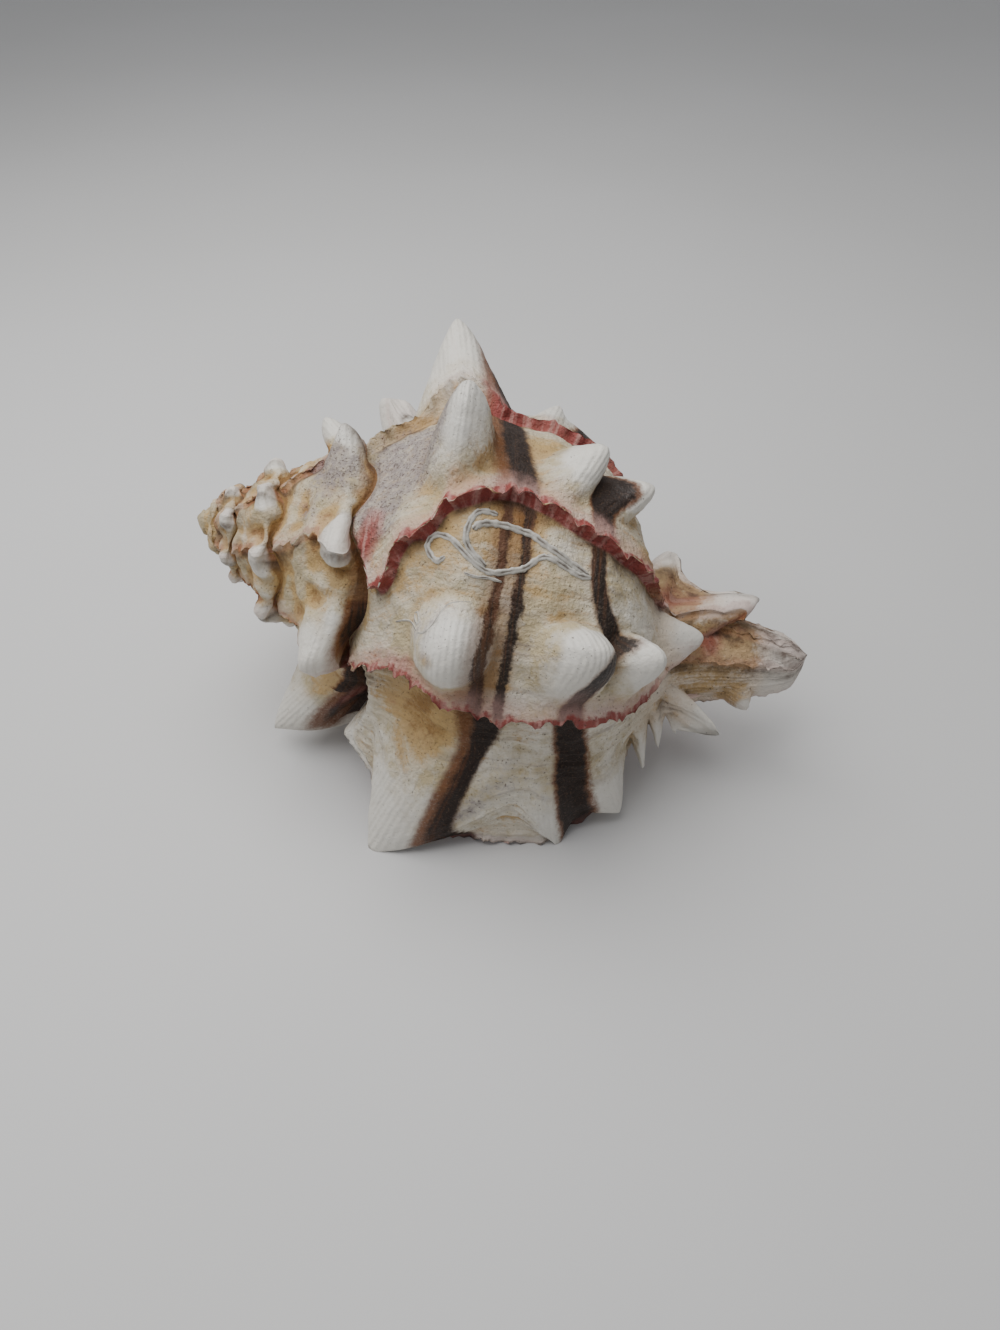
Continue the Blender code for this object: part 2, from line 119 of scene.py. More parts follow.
# Broad flare of a whole edge as (growth, height, degrees over which it rises, degrees it turns outwards)
FLARES = ((0, 9.3, 52.0, 19.0), (60, 0.8, 30.0, 0.0), (342, 4.5, 36.0, 5.0))
# Wander of the two edges in full view, as (profile parameter, degrees behind the plain edge)
EDGE_WANDER = {
    60: ((0, -2.0), (0.65, 5.0), (1.45, 4.0), (2.0, 3.5), (2.9, 1.5), (3.7, 1.5), (4.6, 3.5), (5.3, 3.0),
         (6.5, 4.0)),
    121: ((0, -8.0), (0.35, -22.0), (0.75, -23.0), (1.0, -17.0), (1.2, -14.0), (1.5, -13.0), (1.75, -5.0),
          (2.0, -3.0), (2.8, 3.0), (3.5, 2.5), (4.2, -1.0), (4.9, -4.0), (5.8, -6.5), (7.0, -6.0)),
}
# How pink an edge is, as (profile parameter, strength): the two in view are fresh, the others bleached
PINK_EDGES = {
    0: ((0, 0.2), (12, 0.2)),
    60: ((0, 0.95), (6.3, 0.95), (7.0, 0.35), (12, 0.2)),
    121: ((0, 1.0), (6.3, 1.0), (7.0, 0.35), (12, 0.2)),
    178: ((0, 0.1), (2.1, 0.15), (2.5, 1.0), (6.3, 0.9), (7.0, 0.3), (12, 0.2)),
    233: ((0, 0.3), (6.3, 0.5), (7.0, 0.3), (12, 0.2)),
    288: ((0, 0.6), (6.3, 0.6), (7.0, 0.3), (12, 0.2)),
}
OLD_PINK = 0.35
# Ruffle of a frilled edge: the spacing of its points, and the share and spacing of the fine pleats between
POINT_SPACING = 4.4
PLEAT_SHARE = 0.22
PLEAT_SPACING = 1.15

# Mouth: wall thicknesses, and the pocket behind it, which turns into an oval tunnel
WALL = 2.2
INNER_WALL = 0.8
INNER_LIP = 358.0
POCKET_START = 0.8
POCKET_DEPTH = 150.0
POCKET_LOOPS = 18
POCKET_NARROWS = 0.55
TUNNEL_FROM = 0.45
TUNNEL_CENTRE = (62.0, 25.5)
TUNNEL_HALF = (11.5, 4.6)

# Spines as: growth of the base, distance along the axis of the base, tip (along, radius, angle round the
# axis from the front, 90 up), half widths of the base along and round, and bluntness (1 pointed, 2 round)
SPINES = (
    # outer lip
    (20, 56.0, (46.0, 53.5, -38), 12.0, 13.0, 1.15),
    (17, 74.5, (79.7, 45.0, -38), 6.0, 7.5, 1.15),
    (16, 82.5, (89.5, 36.5, -38), 6.5, 8.0, 1.25),
    (14, 88.5, (92.6, 28.5, -42), 2.8, 5.5, 1.10),
    (12, 91.4, (94.5, 24.0, -44), 2.4, 5.0, 1.10),
    (12, 94.6, (97.0, 20.5, -44), 2.6, 5.0, 1.10),
    (24, 93.6, (104.2, 17.2, -31), 2.2, 2.4, 1.5),
    (10, 106.5, (109.0, 12.8, -46), 2.4, 4.0, 1.8),
    # first varix back
    (79, 53.6, (53.0, 42.5, 24), 7.4, 7.2, 2.5),
    (79, 72.0, (76.4, 38.5, 30), 6.9, 6.6, 2.2),
    (79, 81.0, (87.0, 33.0, 31), 4.0, 5.4, 2.0),
    (84, 89.0, (96.0, 11.5, 36), 4.3, 4.8, 1.6),
    # second varix back
    (138, 47.2, (46.4, 42.0, 85), 6.2, 9.5, 2.1),
    (138, 66.0, (71.0, 35.2, 88), 5.0, 6.5, 1.8),
    (138, 74.0, (80.3, 30.3, 86), 4.2, 5.5, 1.8),
    (150, 95.0, (104.5, 9.8, 100), 5.0, 5.5, 2.4),
    # third varix back
    (195, 45.0, (39.0, 48.7, 140), 12.0, 11.0, 1.3),
    (195, 60.0, (62.0, 37.5, 145), 6.0, 7.5, 1.5),
    (195, 67.0, (73.0, 31.0, 145), 5.0, 6.5, 1.6),
    (205, 87.0, (89.3, 14.0, 150), 5.0, 5.0, 2.2),
    # fourth varix back
    (240, 42.0, (24.8, 43.5, 172), 7.0, 9.0, 1.8),
    (250, 56.0, (59.0, 33.0, 196), 5.5, 6.5, 1.5),
    (250, 63.0, (68.0, 27.0, 196), 4.6, 5.5, 1.5),
    # fifth varix back, underneath
    (305, 39.5, (35.0, 36.8, 250), 6.5, 8.0, 1.6),
    (305, 52.5, (56.0, 33.6, 250), 5.0, 6.0, 1.6),
    (305, 59.0, (63.0, 24.0, 250), 4.0, 5.0, 1.5),
    # previous turn
    (360, 34.0, (21.5, 37.0, -55), 11.0, 11.0, 1.2),
    (415, 31.5, (29.0, 30.5, -3), 7.0, 8.0, 1.3),
    (460, 31.0, (31.0, 26.0, 40), 4.0, 4.5, 2.4),
    (505, 28.0, (26.0, 25.6, 98), 4.4, 4.6, 1.6),
    (552, 25.0, (19.0, 24.0, 140), 4.2, 5.0, 1.6),
    (600, 24.0, (20.0, 23.0, 190), 4.0, 4.6, 1.6),
    (650, 22.0, (17.5, 21.0, 240), 3.8, 4.4, 1.6),
)
KNOBS_FROM = 700
KNOBS_TO = 1400
KNOB_SPACING = 48.0
KNOB_HEIGHT = 4.4
KNOB_WIDTH = 8.8
KNOB_LEAN = 0.1
KNOB_BLUNTNESS = 2.1
SPINE_REACH = 100.0
SPINE_SAMPLES = 600
SPINE_FLANK = (1.55, 0.22)
OLDER_TURN = 365.0
CORDS = ((2.0, 0.8, 0.45), (4.0, 0.5, 0.3), (5.0, 0.5, 0.3), (3.0, 0.35, 0.3))

# Steps of the fine sheet: columns on the last turn and how many of them lie in the open front half,
# rows above and below the lower seam on the last turn, and rows of the older turns
COLUMNS = 384
OPEN_COLUMNS = 268
OPEN_GROWTH = 200.0
UPPER_ROWS = 56
LOWER_ROWS = 96
OLD_ROWS = 30
TURNS = 6
RECESS_STEPS = 14

# Distance in millimetres past which a place counts as far from any edge; threads and worn lumps
FAR_FROM_EDGE = 12.0
SPOT_LIMIT = 2.2
THREAD_SPACING = 1.3
THREAD_HEIGHT = 0.02
SPINE_THREAD_HEIGHT = 0.035
RIB_HEIGHT = 0.045
RIB_SPACING = 1.9
FINE_RIB_HEIGHT = 0.02
FINE_RIB_SPACING = 1.1
LEDGE_HEIGHT = 0.2
LEDGE_SPACING = 2.8
LEDGES_END = 56.0
CROWDED_END = 58.0
FADE_OUT = 8.0
LUMP_SIZE = 2.6
OLD_LUMP_SIZE = 4.2
OLD_LUMP_SHARE = 3.6
CANAL_TIP = 105.0
CANAL_TIP_GLOSS = 0.55
# Band two is only on the last turn: older places count as this many half widths off it
BAND_TWO_ENDS = 380
OFF_BAND = 9.0

# Stained bands as (growth, distance along the axis), and their half widths
BAND_ONE = ((0, 61.4), (22, 61.0), (36, 60.6), (52, 61.3), (69, 60.7), (93, 60.5), (115, 59.6), (130, 58.3),
            (140, 56.6), (165, 54.0), (240, 49.5), (350, 41.5), (365, 39.2), (400, 37.6), (420, 36.6),
            (445, 36.2), (520, 31.5), (600, 27.5), (720, 22.5))
BAND_TWO = ((0, 78.0), (22, 77.2), (44, 76.6), (60, 74.8), (71, 74.0), (79, 75.6), (87, 78.0), (93, 76.6),
            (101, 74.5), (112, 73.2), (131, 71.6), (140, 70.0), (165, 67.5), (240, 61.0), (360, 50.0))
BAND_ONE_HALF = ((0, 1.4), (36, 1.5), (52, 2.5), (60, 2.9), (64, 2.9), (115, 2.6), (122, 2.7), (140, 2.7),
                 (240, 2.2), (350, 2.0), (400, 1.6), (445, 1.4), (520, 1.2), (720, 1.0))
BAND_TWO_HALF = ((0, 1.9), (30, 2.2), (57, 2.2), (70, 1.7), (87, 1.8), (101, 1.2), (118, 1.3), (124, 1.6),
                 (160, 1.5), (240, 1.5), (360, 1.5))
# How far band one is split into two lines, and how dark the bands are, against growth: 0 none, 0.5 umber
BAND_SPLIT = ((0, 0), (58, 0), (62, 1), (119, 1), (123, 0), (720, 0))
# The darkness of 1.4 at growth 59, just under the edge at 60, is partly painted shadow of that edge
BAND_DARK = ((0, 0.8), (22, 0.9), (45, 1.0), (59, 1.4), (61, 0.8), (75, 0.85), (88, 0.8), (98, 0.6),
             (112, 0.45), (119, 0.4), (123, 0.9), (150, 1.1), (177, 0.9), (182, 1.0), (236, 0.6),
             (330, 0.6), (345, 0.85), (372, 0.9), (400, 1.0), (426, 0.95), (436, 0.25), (520, 0.1),
             (720, 0.0))

# Ochre stains as (growth, distance along the axis, radius of the patch, strength), below 0 where bleached
OCHRE_SPOTS = ((95, 67.1, 3.5, 0.5), (80, 68.0, 2.2, 0.7), (76, 52.0, 2.0, 1.4), (48, 48.3, 5.0, 0.7),
               (54, 51.5, 3.0, 1.4), (45, 55.0, 2.5, 0.8), (118, 82.0, 3.0, 1.7), (98, 104.0, 2.0, 0.5),
               (41, 52.4, 4.0, 0.7), (35, 48.4, 4.0, 0.3), (110, 50.0, 6.0, 0.4), (100, 46.0, 6.0, 0.25),
               (104, 63.0, 5.0, 0.35), (150, 63.0, 4.0, 0.6), (187, 43.5, 9.0, -0.45), (174, 38.0, 4.0, 0.7),
               (420, 33.5, 3.5, 0.9), (380, 34.5, 4.0, 0.6), (446, 33.0, 2.5, 0.9), (60, 96.0, 5.0, 0.5),
               (110, 100.0, 5.0, 0.5), (75, 104.0, 4.0, 0.5), (150, 86.0, 3.0, 0.8), (140, 97.0, 3.0, 0.7),
               (14, 106.0, 3.0, 1.0), (30, 100.0, 3.0, 0.6), (54, 57.0, 3.0, 0.9), (70, 62.0, 2.0, 0.4),
               (150, 60.0, 4.0, 0.5), (172, 50.0, 5.0, 0.3), (85, 96.0, 3.5, 1.0), (145, 90.0, 3.0, 0.6),
               (117, 60.5, 4.5, 1.3), (84, 65.0, 4.5, -0.6), (68, 70.0, 6.0, -0.8),
               (30, 69.0, 9.0, -0.75), (24, 82.0, 5.0, -0.5), (138, 66.0, 5.0, -0.5), (100, 81.0, 6.0, -0.5),
               (60, 80.0, 6.0, -0.6), (112, 66.0, 4.0, -0.4), (22, 50.0, 5.0, -0.5))
# Pink patches away from the frilled edges, in the same form
PINK_SPOTS = ((62, 43.5, 4.5, 1.0), (66, 49.0, 3.2, 1.0), (64, 52.5, 1.8, 0.7), (172, 41.0, 2.2, 0.9),
              (165, 46.0, 1.8, 0.8), (480, 22.0, 1.6, 0.9), (740, 20.2, 1.6, 0.8), (117, 85.5, 3.0, 1.8),
              (113, 36.5, 2.6, 1.1), (106, 36.6, 2.8, 1.3), (100, 36.0, 2.4, 1.3), (95, 37.0, 2.0, 1.0),
              (153, 36.0, 1.5, 0.9), (80, 98.0, 3.2, 1.0), (99, 97.0, 3.4, 1.0), (80, 90.0, 2.5, 1.1),
              (140, 90.0, 2.5, 1.4), (377, 38.3, 3.0, 1.3), (401, 35.8, 2.6, 1.2), (40, 46.0, 1.6, 0.8))
# Grey-lilac patches, mostly weathering, though those at growth 142 and 82 on two knobs and at growth 30 on
# the lip's face are painted shade; and how aged the old turns are against growth
ASHEN_AND_SHADED_SPOTS = ((152, 39.0, 8.0, 0.9), (136, 38.5, 7.0, 0.8), (119, 35.5, 5.0, 0.8), (108, 38.0, 4.0, 0.5),
               (493, 28.0, 5.0, 0.8), (506, 25.0, 4.0, 0.7), (30, 68.0, 8.0, 0.35), (470, 24.0, 3.0, 0.5),
               (142, 45.5, 6.0, 0.8), (82, 52.0, 4.5, 0.75), (79, 70.0, 4.0, 0.5), (24, 62.0, 4.0, 0.4),
               (84, 63.0, 5.0, 0.3))
AGED = ((0, 0.0), (340, 0.0), (400, 0.45), (460, 0.65), (520, 0.8), (700, 0.95), (1000, 1.0), (2160, 1.0))

# Worm tubes as a route of (growth, distance along the axis) and their share of the full width
WORM_TUBES = (
    (((101, 49.8), (99, 48.5), (102, 46.6), (105, 46.5), (107, 47.7), (106, 50.1), (102.5, 52.7),
      (99.5, 55.7), (99.3, 57.8), (101, 60.5), (102.7, 62.4), (106.5, 64.2), (107, 66), (105.5, 68.7),
      (104.2, 71),
      (104.5, 73)), 1.0),
    (((116, 56.5), (116, 54.2), (114.3, 52.8), (110, 52.1), (106, 52.4), (103, 54), (100.3, 56.5)), 1.0),
    (((109.5, 53), (111.5, 53.7), (113, 55.5), (113.3, 57.5), (113.2, 60.2), (112.8, 62.3), (111, 64.2),
      (109.5, 66.2), (107.3, 69.1), (104.8, 72.6)), 1.15),
    (((108, 65), (107, 67), (105.2, 69.5), (104, 71.5)), 0.7),
    (((97.5, 53), (97, 55), (97.5, 57), (97.2, 59.5)), 0.5),
    (((76, 43.5), (79, 45.5), (80.5, 48.5), (84, 50.5), (89, 52), (90.5, 55.5)), 0.34),
    (((82, 46.6), (83, 47.3), (82, 48), (81, 47.3), (82, 46.7)), 0.4),
)
TUBE_STEPS = 5
TUBE_SIDES = 16
TUBE_GROOVE = 0.5
TUBE_GROOVE_WIDTH = 0.42
TUBE_RISE = 0.75
# Uneven width as (share, waves along the steps, phase), and how the ends taper per step
TUBE_WOBBLE = ((0.14, 1.7, 0.0), (0.10, 3.1, 1.0))
TUBE_END = 0.45
TUBE_TAPER = 0.25
TOUCH_FROM = 62.0

# Stage: half the table top's side and the lamp in metres, and the camera in the photograph's pixels
FLOOR_HALF = 2.0
LAMP_PLACE = (-0.11, 0.03, 0.34)
LAMP_SIZE = (0.4, 0.36)
CAMERA_AIM = (1.6, -13.0, -8.0)
SENSOR = 36.0
FOCAL_PIXELS = 1000.0
PHOTO_HEIGHT = 1330.0


def hermite(x, xs, ys):
    """Smooth curve through (xs, ys), without overshoot at the ends."""
    xs = np.asarray(xs, float)
    ys = np.asarray(ys, float)
    slope = np.gradient(ys, xs)
    x = np.clip(x, xs[0], xs[-1])
    i = np.clip(np.searchsorted(xs, x, side="right") - 1, 0, len(xs) - 2)
    step = xs[i + 1] - xs[i]
    t = (x - xs[i]) / step
    a = 2 * t**3 - 3 * t**2 + 1
    b = t**3 - 2 * t**2 + t
    c = -2 * t**3 + 3 * t**2
    d = t**3 - t**2
    return a * ys[i] + b * step * slope[i] + c * ys[i + 1] + d * step * slope[i + 1]


def ease(x):
    """0 below 0, 1 above 1, smooth between."""
    x = np.clip(x, 0.0, 1.0)
    return x * x * (3 - 2 * x)


def clear_of_seams(beta, u, upper, lower):
    """0 on the seams and 1 away from them, over the given widths of the profile's parameter."""
    return ease(u / upper) * np.where(beta >= 360, ease((SEAM_KNOT - u) / lower), 1.0)


def shoulder(beta):
    """Distance along the axis and radius of the shoulder, and the size of the turn against the lip's."""
    along = np.maximum(hermite(beta, GROWTH, SHOULDER), 0.0)
    size = (along / LIP_SHOULDER_A) ** WIDENING
    return along, LIP_SHOULDER_R * size, size


def lower_seam(beta):
    """The seam under a turn, which lifts towards the apex where the next turn's edge grips it."""
    along, radius, size = shoulder(beta)
    tight = 1 - (1 - SEAM_TIGHTNESS) * ease(beta / 360.0)
    lift = np.zeros_like(along)
    for edge in EDGES:
        off = (beta - 360.0 - edge + SEAM_CLIMB_AHEAD) / SEAM_CLIMB_WIDTH
        lift = np.maximum(lift, np.exp(-off * off))
    lift = lift * ease((beta - 330.0) / 30.0) * ease((along - 1.0) / 4.0)
    return along + (SEAM_BELOW_SHOULDER - SEAM_CLIMB * lift) * size, radius * tight * (1 - 0.05 * lift)


def profile_knots(beta):
    """Knots of the profile as (distance along the axis, radius) arrays, from the upper seam down."""
    along, radius, size = shoulder(beta)
    top = lower_seam(beta + 360.0)
    seam = lower_seam(beta)
    knots = [top]
    knots.append((0.52 * top[0] + 0.48 * along - 0.2 * size, 0.48 * top[1] + 0.52 * radius + 0.3 * size))
    knots.append((along, radius))
    knots.append(seam)
    for stages in zip(LIP_BASE, FRONT_BASE, BACK_BASE, INNER_BASE):
        knots.append(tuple(hermite(beta, BASE_GROWTH, [stage[i] for stage in stages]) for i in (0, 1)))
    hidden = ease((beta - 355.0) / 20.0)
    under = (seam[0] + 6.0 * size, seam[1] * 0.96)
    knots[4] = tuple(k + (h - k) * hidden for k, h in zip(knots[4], under))
    return knots


def profile_at(beta, u):
    """Point of the profile at parameter u, where knot number k is at u = k, as (along, radius)."""
    knots = profile_knots(beta)
    first = np.clip(np.floor(u), 0, len(knots) - 2).astype(int)
    t = u - first
    out = []
    for axis in (0, 1):
        values = np.stack([np.broadcast_to(k[axis], u.shape) for k in knots])
        before = np.take_along_axis(values, np.maximum(first - 1, 0)[None], 0)[0]
        start = np.take_along_axis(values, first[None], 0)[0]
        end = np.take_along_axis(values, (first + 1)[None], 0)[0]
        after = np.take_along_axis(values, np.minimum(first + 2, len(knots) - 1)[None], 0)[0]
        m0 = (end - before) / 2
        m1 = (after - start) / 2
        out.append((2 * t**3 - 3 * t**2 + 1) * start + (t**3 - 2 * t**2 + t) * m0
                   + (3 * t**2 - 2 * t**3) * end + (t**3 - t**2) * m1)
    return out[0], np.maximum(out[1], 0.0)


def spread(count, start, end):
    """Evenly spaced profile parameters, by arc length measured on the lip's profile."""
    u = np.linspace(start, end, 400)
    along, radius = profile_at(np.full_like(u, 30.0), u)
    length = np.concatenate([[0], np.cumsum(np.hypot(np.diff(along), np.diff(radius)))])
    return np.interp(np.linspace(0, length[-1], count + 1), length, u)


def knob_list():
    """The worn knobs of the oldest turns, in the same form as the spines."""
    found = []
    beta = KNOBS_FROM
    while beta < KNOBS_TO:
        along, radius, size = (float(v) for v in shoulder(np.asarray(float(beta))))
        tip = (along * (1 - KNOB_LEAN), radius + KNOB_HEIGHT * size, LIP_ANGLE + beta)
        found.append((beta, along, tip, KNOB_WIDTH * size, KNOB_WIDTH * size, KNOB_BLUNTNESS))
        beta += KNOB_SPACING
    return found


def swept(beta, u):
    """Growth angle at which a growth line is counted: near the upper seam the lines sweep forwards."""
    return beta + EDGE_SWEEP * (1 - ease(u / 1.4)) * ease(u / 0.2)


def behind_edge(beta, u, edge):
    """Degrees that a place lies behind an edge, along the edge's own wandering line."""
    off = swept(beta, u) - edge
    if edge in EDGE_WANDER:
        off = off - follow(u, EDGE_WANDER[edge]) * clear_of_seams(beta, u, 0.5, 0.5)
    return off


def gathered(turn_angle, u):
    """Growth angle of each column, drawn together at the frilled edges so that their step is sharp."""
    beta = turn_angle.copy()
    inside = clear_of_seams(turn_angle, u, 0.5, 0.5)
    for edge in EDGES[1:]:
        ahead = behind_edge(turn_angle, u, edge)
        off = ahead / GATHER_WIDTH
        near = np.abs(off) < 1
        pulled = np.sign(off) * np.abs(off) ** GATHER_POWER * GATHER_WIDTH
        beta = np.where(near, turn_angle + (pulled - ahead) * inside, beta)
    return beta


def to_space(along, radius, angle):
    """Shell coordinates to points in millimetres, the middle of the axis at the origin."""
    pitch = math.radians(PITCH)
    turn = np.radians(angle)
    x = along - LENGTH / 2
    y = -radius * np.cos(turn)
    z = radius * np.sin(turn)
    tilted_x = x * math.cos(pitch) + z * math.sin(pitch)
    tilted_z = z * math.cos(pitch) - x * math.sin(pitch)
    return np.stack([tilted_x, y, tilted_z], -1)


def ripple(length, spacing, seed):
    """Uneven waves along a length in millimetres, between -1 and 1, sharp at their crests."""
    phase = 2 * math.pi * length / spacing
    uneven = phase + 1.3 * np.sin(0.37 * phase + seed) + 0.6 * np.sin(0.91 * phase + 2.1 * seed)
    return 1 - 2 * np.abs(np.sin(uneven / 2)) ** 0.8


def edge_relief(beta, radius, u, length, frill):
    """Height and forward lean of the frilled edges: a slow swell, then a sharp drop on the younger side."""
    size = shoulder(beta)[2]
    height = np.zeros_like(beta)
    lean = np.zeros_like(beta)
    worn = 1 - (1 - WORN_EDGE) * ease((beta - WORN_FROM) / WORN_OVER)
    for edge in EDGES:
        off = np.radians(behind_edge(beta, u, edge)) * np.maximum(radius, LEAST_RADIUS)
        older = off >= 0
        step = np.clip(1 + off / EDGE_STEP, 0, 1)
        fall = np.where(older, np.exp(-np.maximum(off, 0) / (EDGE_FALL * size + 0.01)), step)
        curl = np.where(older, np.exp(-np.maximum(off, 0) / (EDGE_CURL * size + 0.01)), step)
        points = ripple(length, POINT_SPACING * size + 0.2, edge)
        pleats = ripple(length, PLEAT_SPACING * size + 0.1, 2.0 * edge)
        ruffle = 1 + frill / EDGE_LEAN * (points + 0.3 + PLEAT_SHARE * pleats)
        swell = (1 - CURL_SHARE) * fall + CURL_SHARE * curl
        height = np.maximum(height, EDGE_HEIGHT * worn * size * swell * (1 + 0.10 * pleats * curl))
        lean = np.maximum(lean, curl * ruffle)
    inside = clear_of_seams(beta, u, *SEAM_FADE)
    inside = inside * (1 - 0.45 * ease((u - 6.5) / 2.0)) * (1 - ease((u - 11.0) / 1.0))
    return height * inside + flare(beta, radius, u)[0], lean * inside * size


def flare(beta, radius, u):
    """Height of the wide flares, tallest below the shoulder, and how far they turn outwards."""
    tall = np.zeros_like(beta)
    turned = np.zeros_like(beta)
    for edge, height, reach, outwards in FLARES:
        off = behind_edge(beta, u, edge) if edge else beta
        rise = np.clip(1 - off / reach, 0, 1)
        rise = np.where(off >= 0, rise * ease(rise * 2.5) * (0.7 + 0.3 * rise),
                        np.clip(1 + np.radians(off) * radius / EDGE_STEP, 0, 1))
        tall = np.maximum(tall, height * rise)
        turned = np.maximum(turned, outwards * rise)
    inside = clear_of_seams(beta, u, 0.5, 1.0) * (1 - ease((u - 3.6) / 3.2))
    return tall * inside, turned * inside


def bare(beta, u, length, frill):
    """Points of the outside without its spines."""
    along, radius = profile_at(beta, u)
    height, lean = edge_relief(beta, radius, u, length, frill)
    ahead_a, ahead_r = profile_at(beta, u + 0.02)
    slope_a = ahead_a - along
    slope_r = ahead_r - radius
    slope = np.hypot(slope_a, slope_r) + 1e-9
    out_a = -slope_r / slope
    out_r = slope_a / slope
    size = shoulder(beta)[2]
    inside = clear_of_seams(beta, u, *SEAM_FADE)
    for centre, tall, wide in CORDS:
        height = height + tall * size * inside * np.exp(-((u - centre) / wide) ** 2)
    leaning = np.degrees(EDGE_LEAN * lean / np.maximum(radius, 3.0))
    angle = LIP_ANGLE + beta + flare(beta, radius, u)[1] - leaning
    return to_space(along + out_a * height, np.maximum(radius + out_r * height, 0.0), angle)


def spine_pull(spine, beta, u, along, radius):
    """Share of a spine's height at each point, and the vector from its base to its tip."""
    base_beta, base_a, tip, half_along, half_round, blunt = spine
    rows = np.linspace(0, TIP_KNOT, SPINE_SAMPLES)
    line_a, line_r = profile_at(np.full_like(rows, float(base_beta)), rows)
    last = SEAM_KNOT if base_beta >= OLDER_TURN else TIP_KNOT
    usable = (rows <= last) & (rows > 0.3)
    k = np.argmin(np.where(usable, np.abs(line_a - base_a), np.inf))
    base_r = line_r[k]
    base = bare(np.array([float(base_beta)]), rows[k:k + 1], np.zeros(1), 0.0)[0]
    top = to_space(*tip)
    across = np.radians(beta - base_beta) * base_r / half_round
    same_turn = np.abs(beta - base_beta) < SPINE_REACH
    down = np.hypot(along - line_a[k], radius - base_r) / half_along
    distance = np.hypot(across, down)
    flank = SPINE_FLANK[0] - SPINE_FLANK[1] * blunt
    share = np.where(same_turn, np.clip(1 - distance**blunt, 0, 1) ** flank, 0.0)
    return share, top - base


def grown(beta, u, length, frill):
    """Points of the outside, and the share of a spine's height that each has."""
    points = bare(beta, u, length, frill)
    along, radius = profile_at(beta, u)
    inside = clear_of_seams(beta, u, *SEAM_FADE)
    knob = np.zeros_like(beta)
    for spine in (*SPINES, *knob_list()):
        share, reach = spine_pull(spine, beta, u, along, radius)
        points = points + (share * inside)[..., None] * reach
        knob = np.maximum(knob, share * inside)
    return points, knob


def column_angles():
    """Growth angles of one turn's columns, closer together in the open front half."""
    open_part = np.linspace(0, OPEN_GROWTH, OPEN_COLUMNS + 1)
    rest = np.linspace(OPEN_GROWTH, 360.0, COLUMNS - OPEN_COLUMNS + 1)
    return np.concatenate([open_part, rest[1:]])


def edge_distances(beta, u, radius):
    """Millimetres behind the next frilled edge and ahead of the last one, and the nearer one's pinkness."""
    behind = np.full_like(beta, FAR_FROM_EDGE)
    ahead = np.full_like(beta, FAR_FROM_EDGE)
    pink = np.zeros_like(beta)
    nearest = np.full_like(beta, np.inf)
    for edge in EDGES:
        off = np.radians(behind_edge(beta, u, edge)) * np.maximum(radius, LEAST_RADIUS)
        behind = np.where((off >= 0) & (off < behind), off, behind)
        ahead = np.where((off < 0) & (-off < ahead), -off, ahead)
        strength = line_at(u, PINK_EDGES[edge]) if edge in PINK_EDGES else OLD_PINK
        pink = np.where(np.abs(off) < nearest, strength, pink)
        nearest = np.minimum(nearest, np.abs(off))
    return behind, ahead, pink


def follow(beta, table):
    """Smooth curve through a table of (growth or profile parameter, value)."""
    return hermite(beta, [p[0] for p in table], [p[1] for p in table])


def line_at(beta, table):
    """Straight lines between the values of such a table."""
    return np.interp(beta, [p[0] for p in table], [p[1] for p in table])


def spots(beta, along, radius, table):
    """Strength of soft round patches laid on the surface."""
    total = np.zeros_like(beta)
    for growth, middle, reach, strength in table:
        across = np.radians(beta - growth) * radius
        total = total + strength * np.exp(-(across**2 + (along - middle) ** 2) / reach**2)
    return np.minimum(total, SPOT_LIMIT)


def weathering(points, size, aged, depth):
    """Height of the worn lumps and pits at each point."""
    flat = points.reshape(-1, 3)
    worn = [noise.fractal(Vector(point) / LUMP_SIZE, 0.9, 2.0, 3) for point in flat]
    rugged = [noise.fractal(Vector(point) / OLD_LUMP_SIZE, 0.9, 2.0, 2) for point in flat]
    fresh = depth * np.array(worn).reshape(size.shape) * (0.45 + 0.55 * size)
    return fresh + OLD_LUMP_SHARE * depth * np.array(rugged).reshape(size.shape) * aged


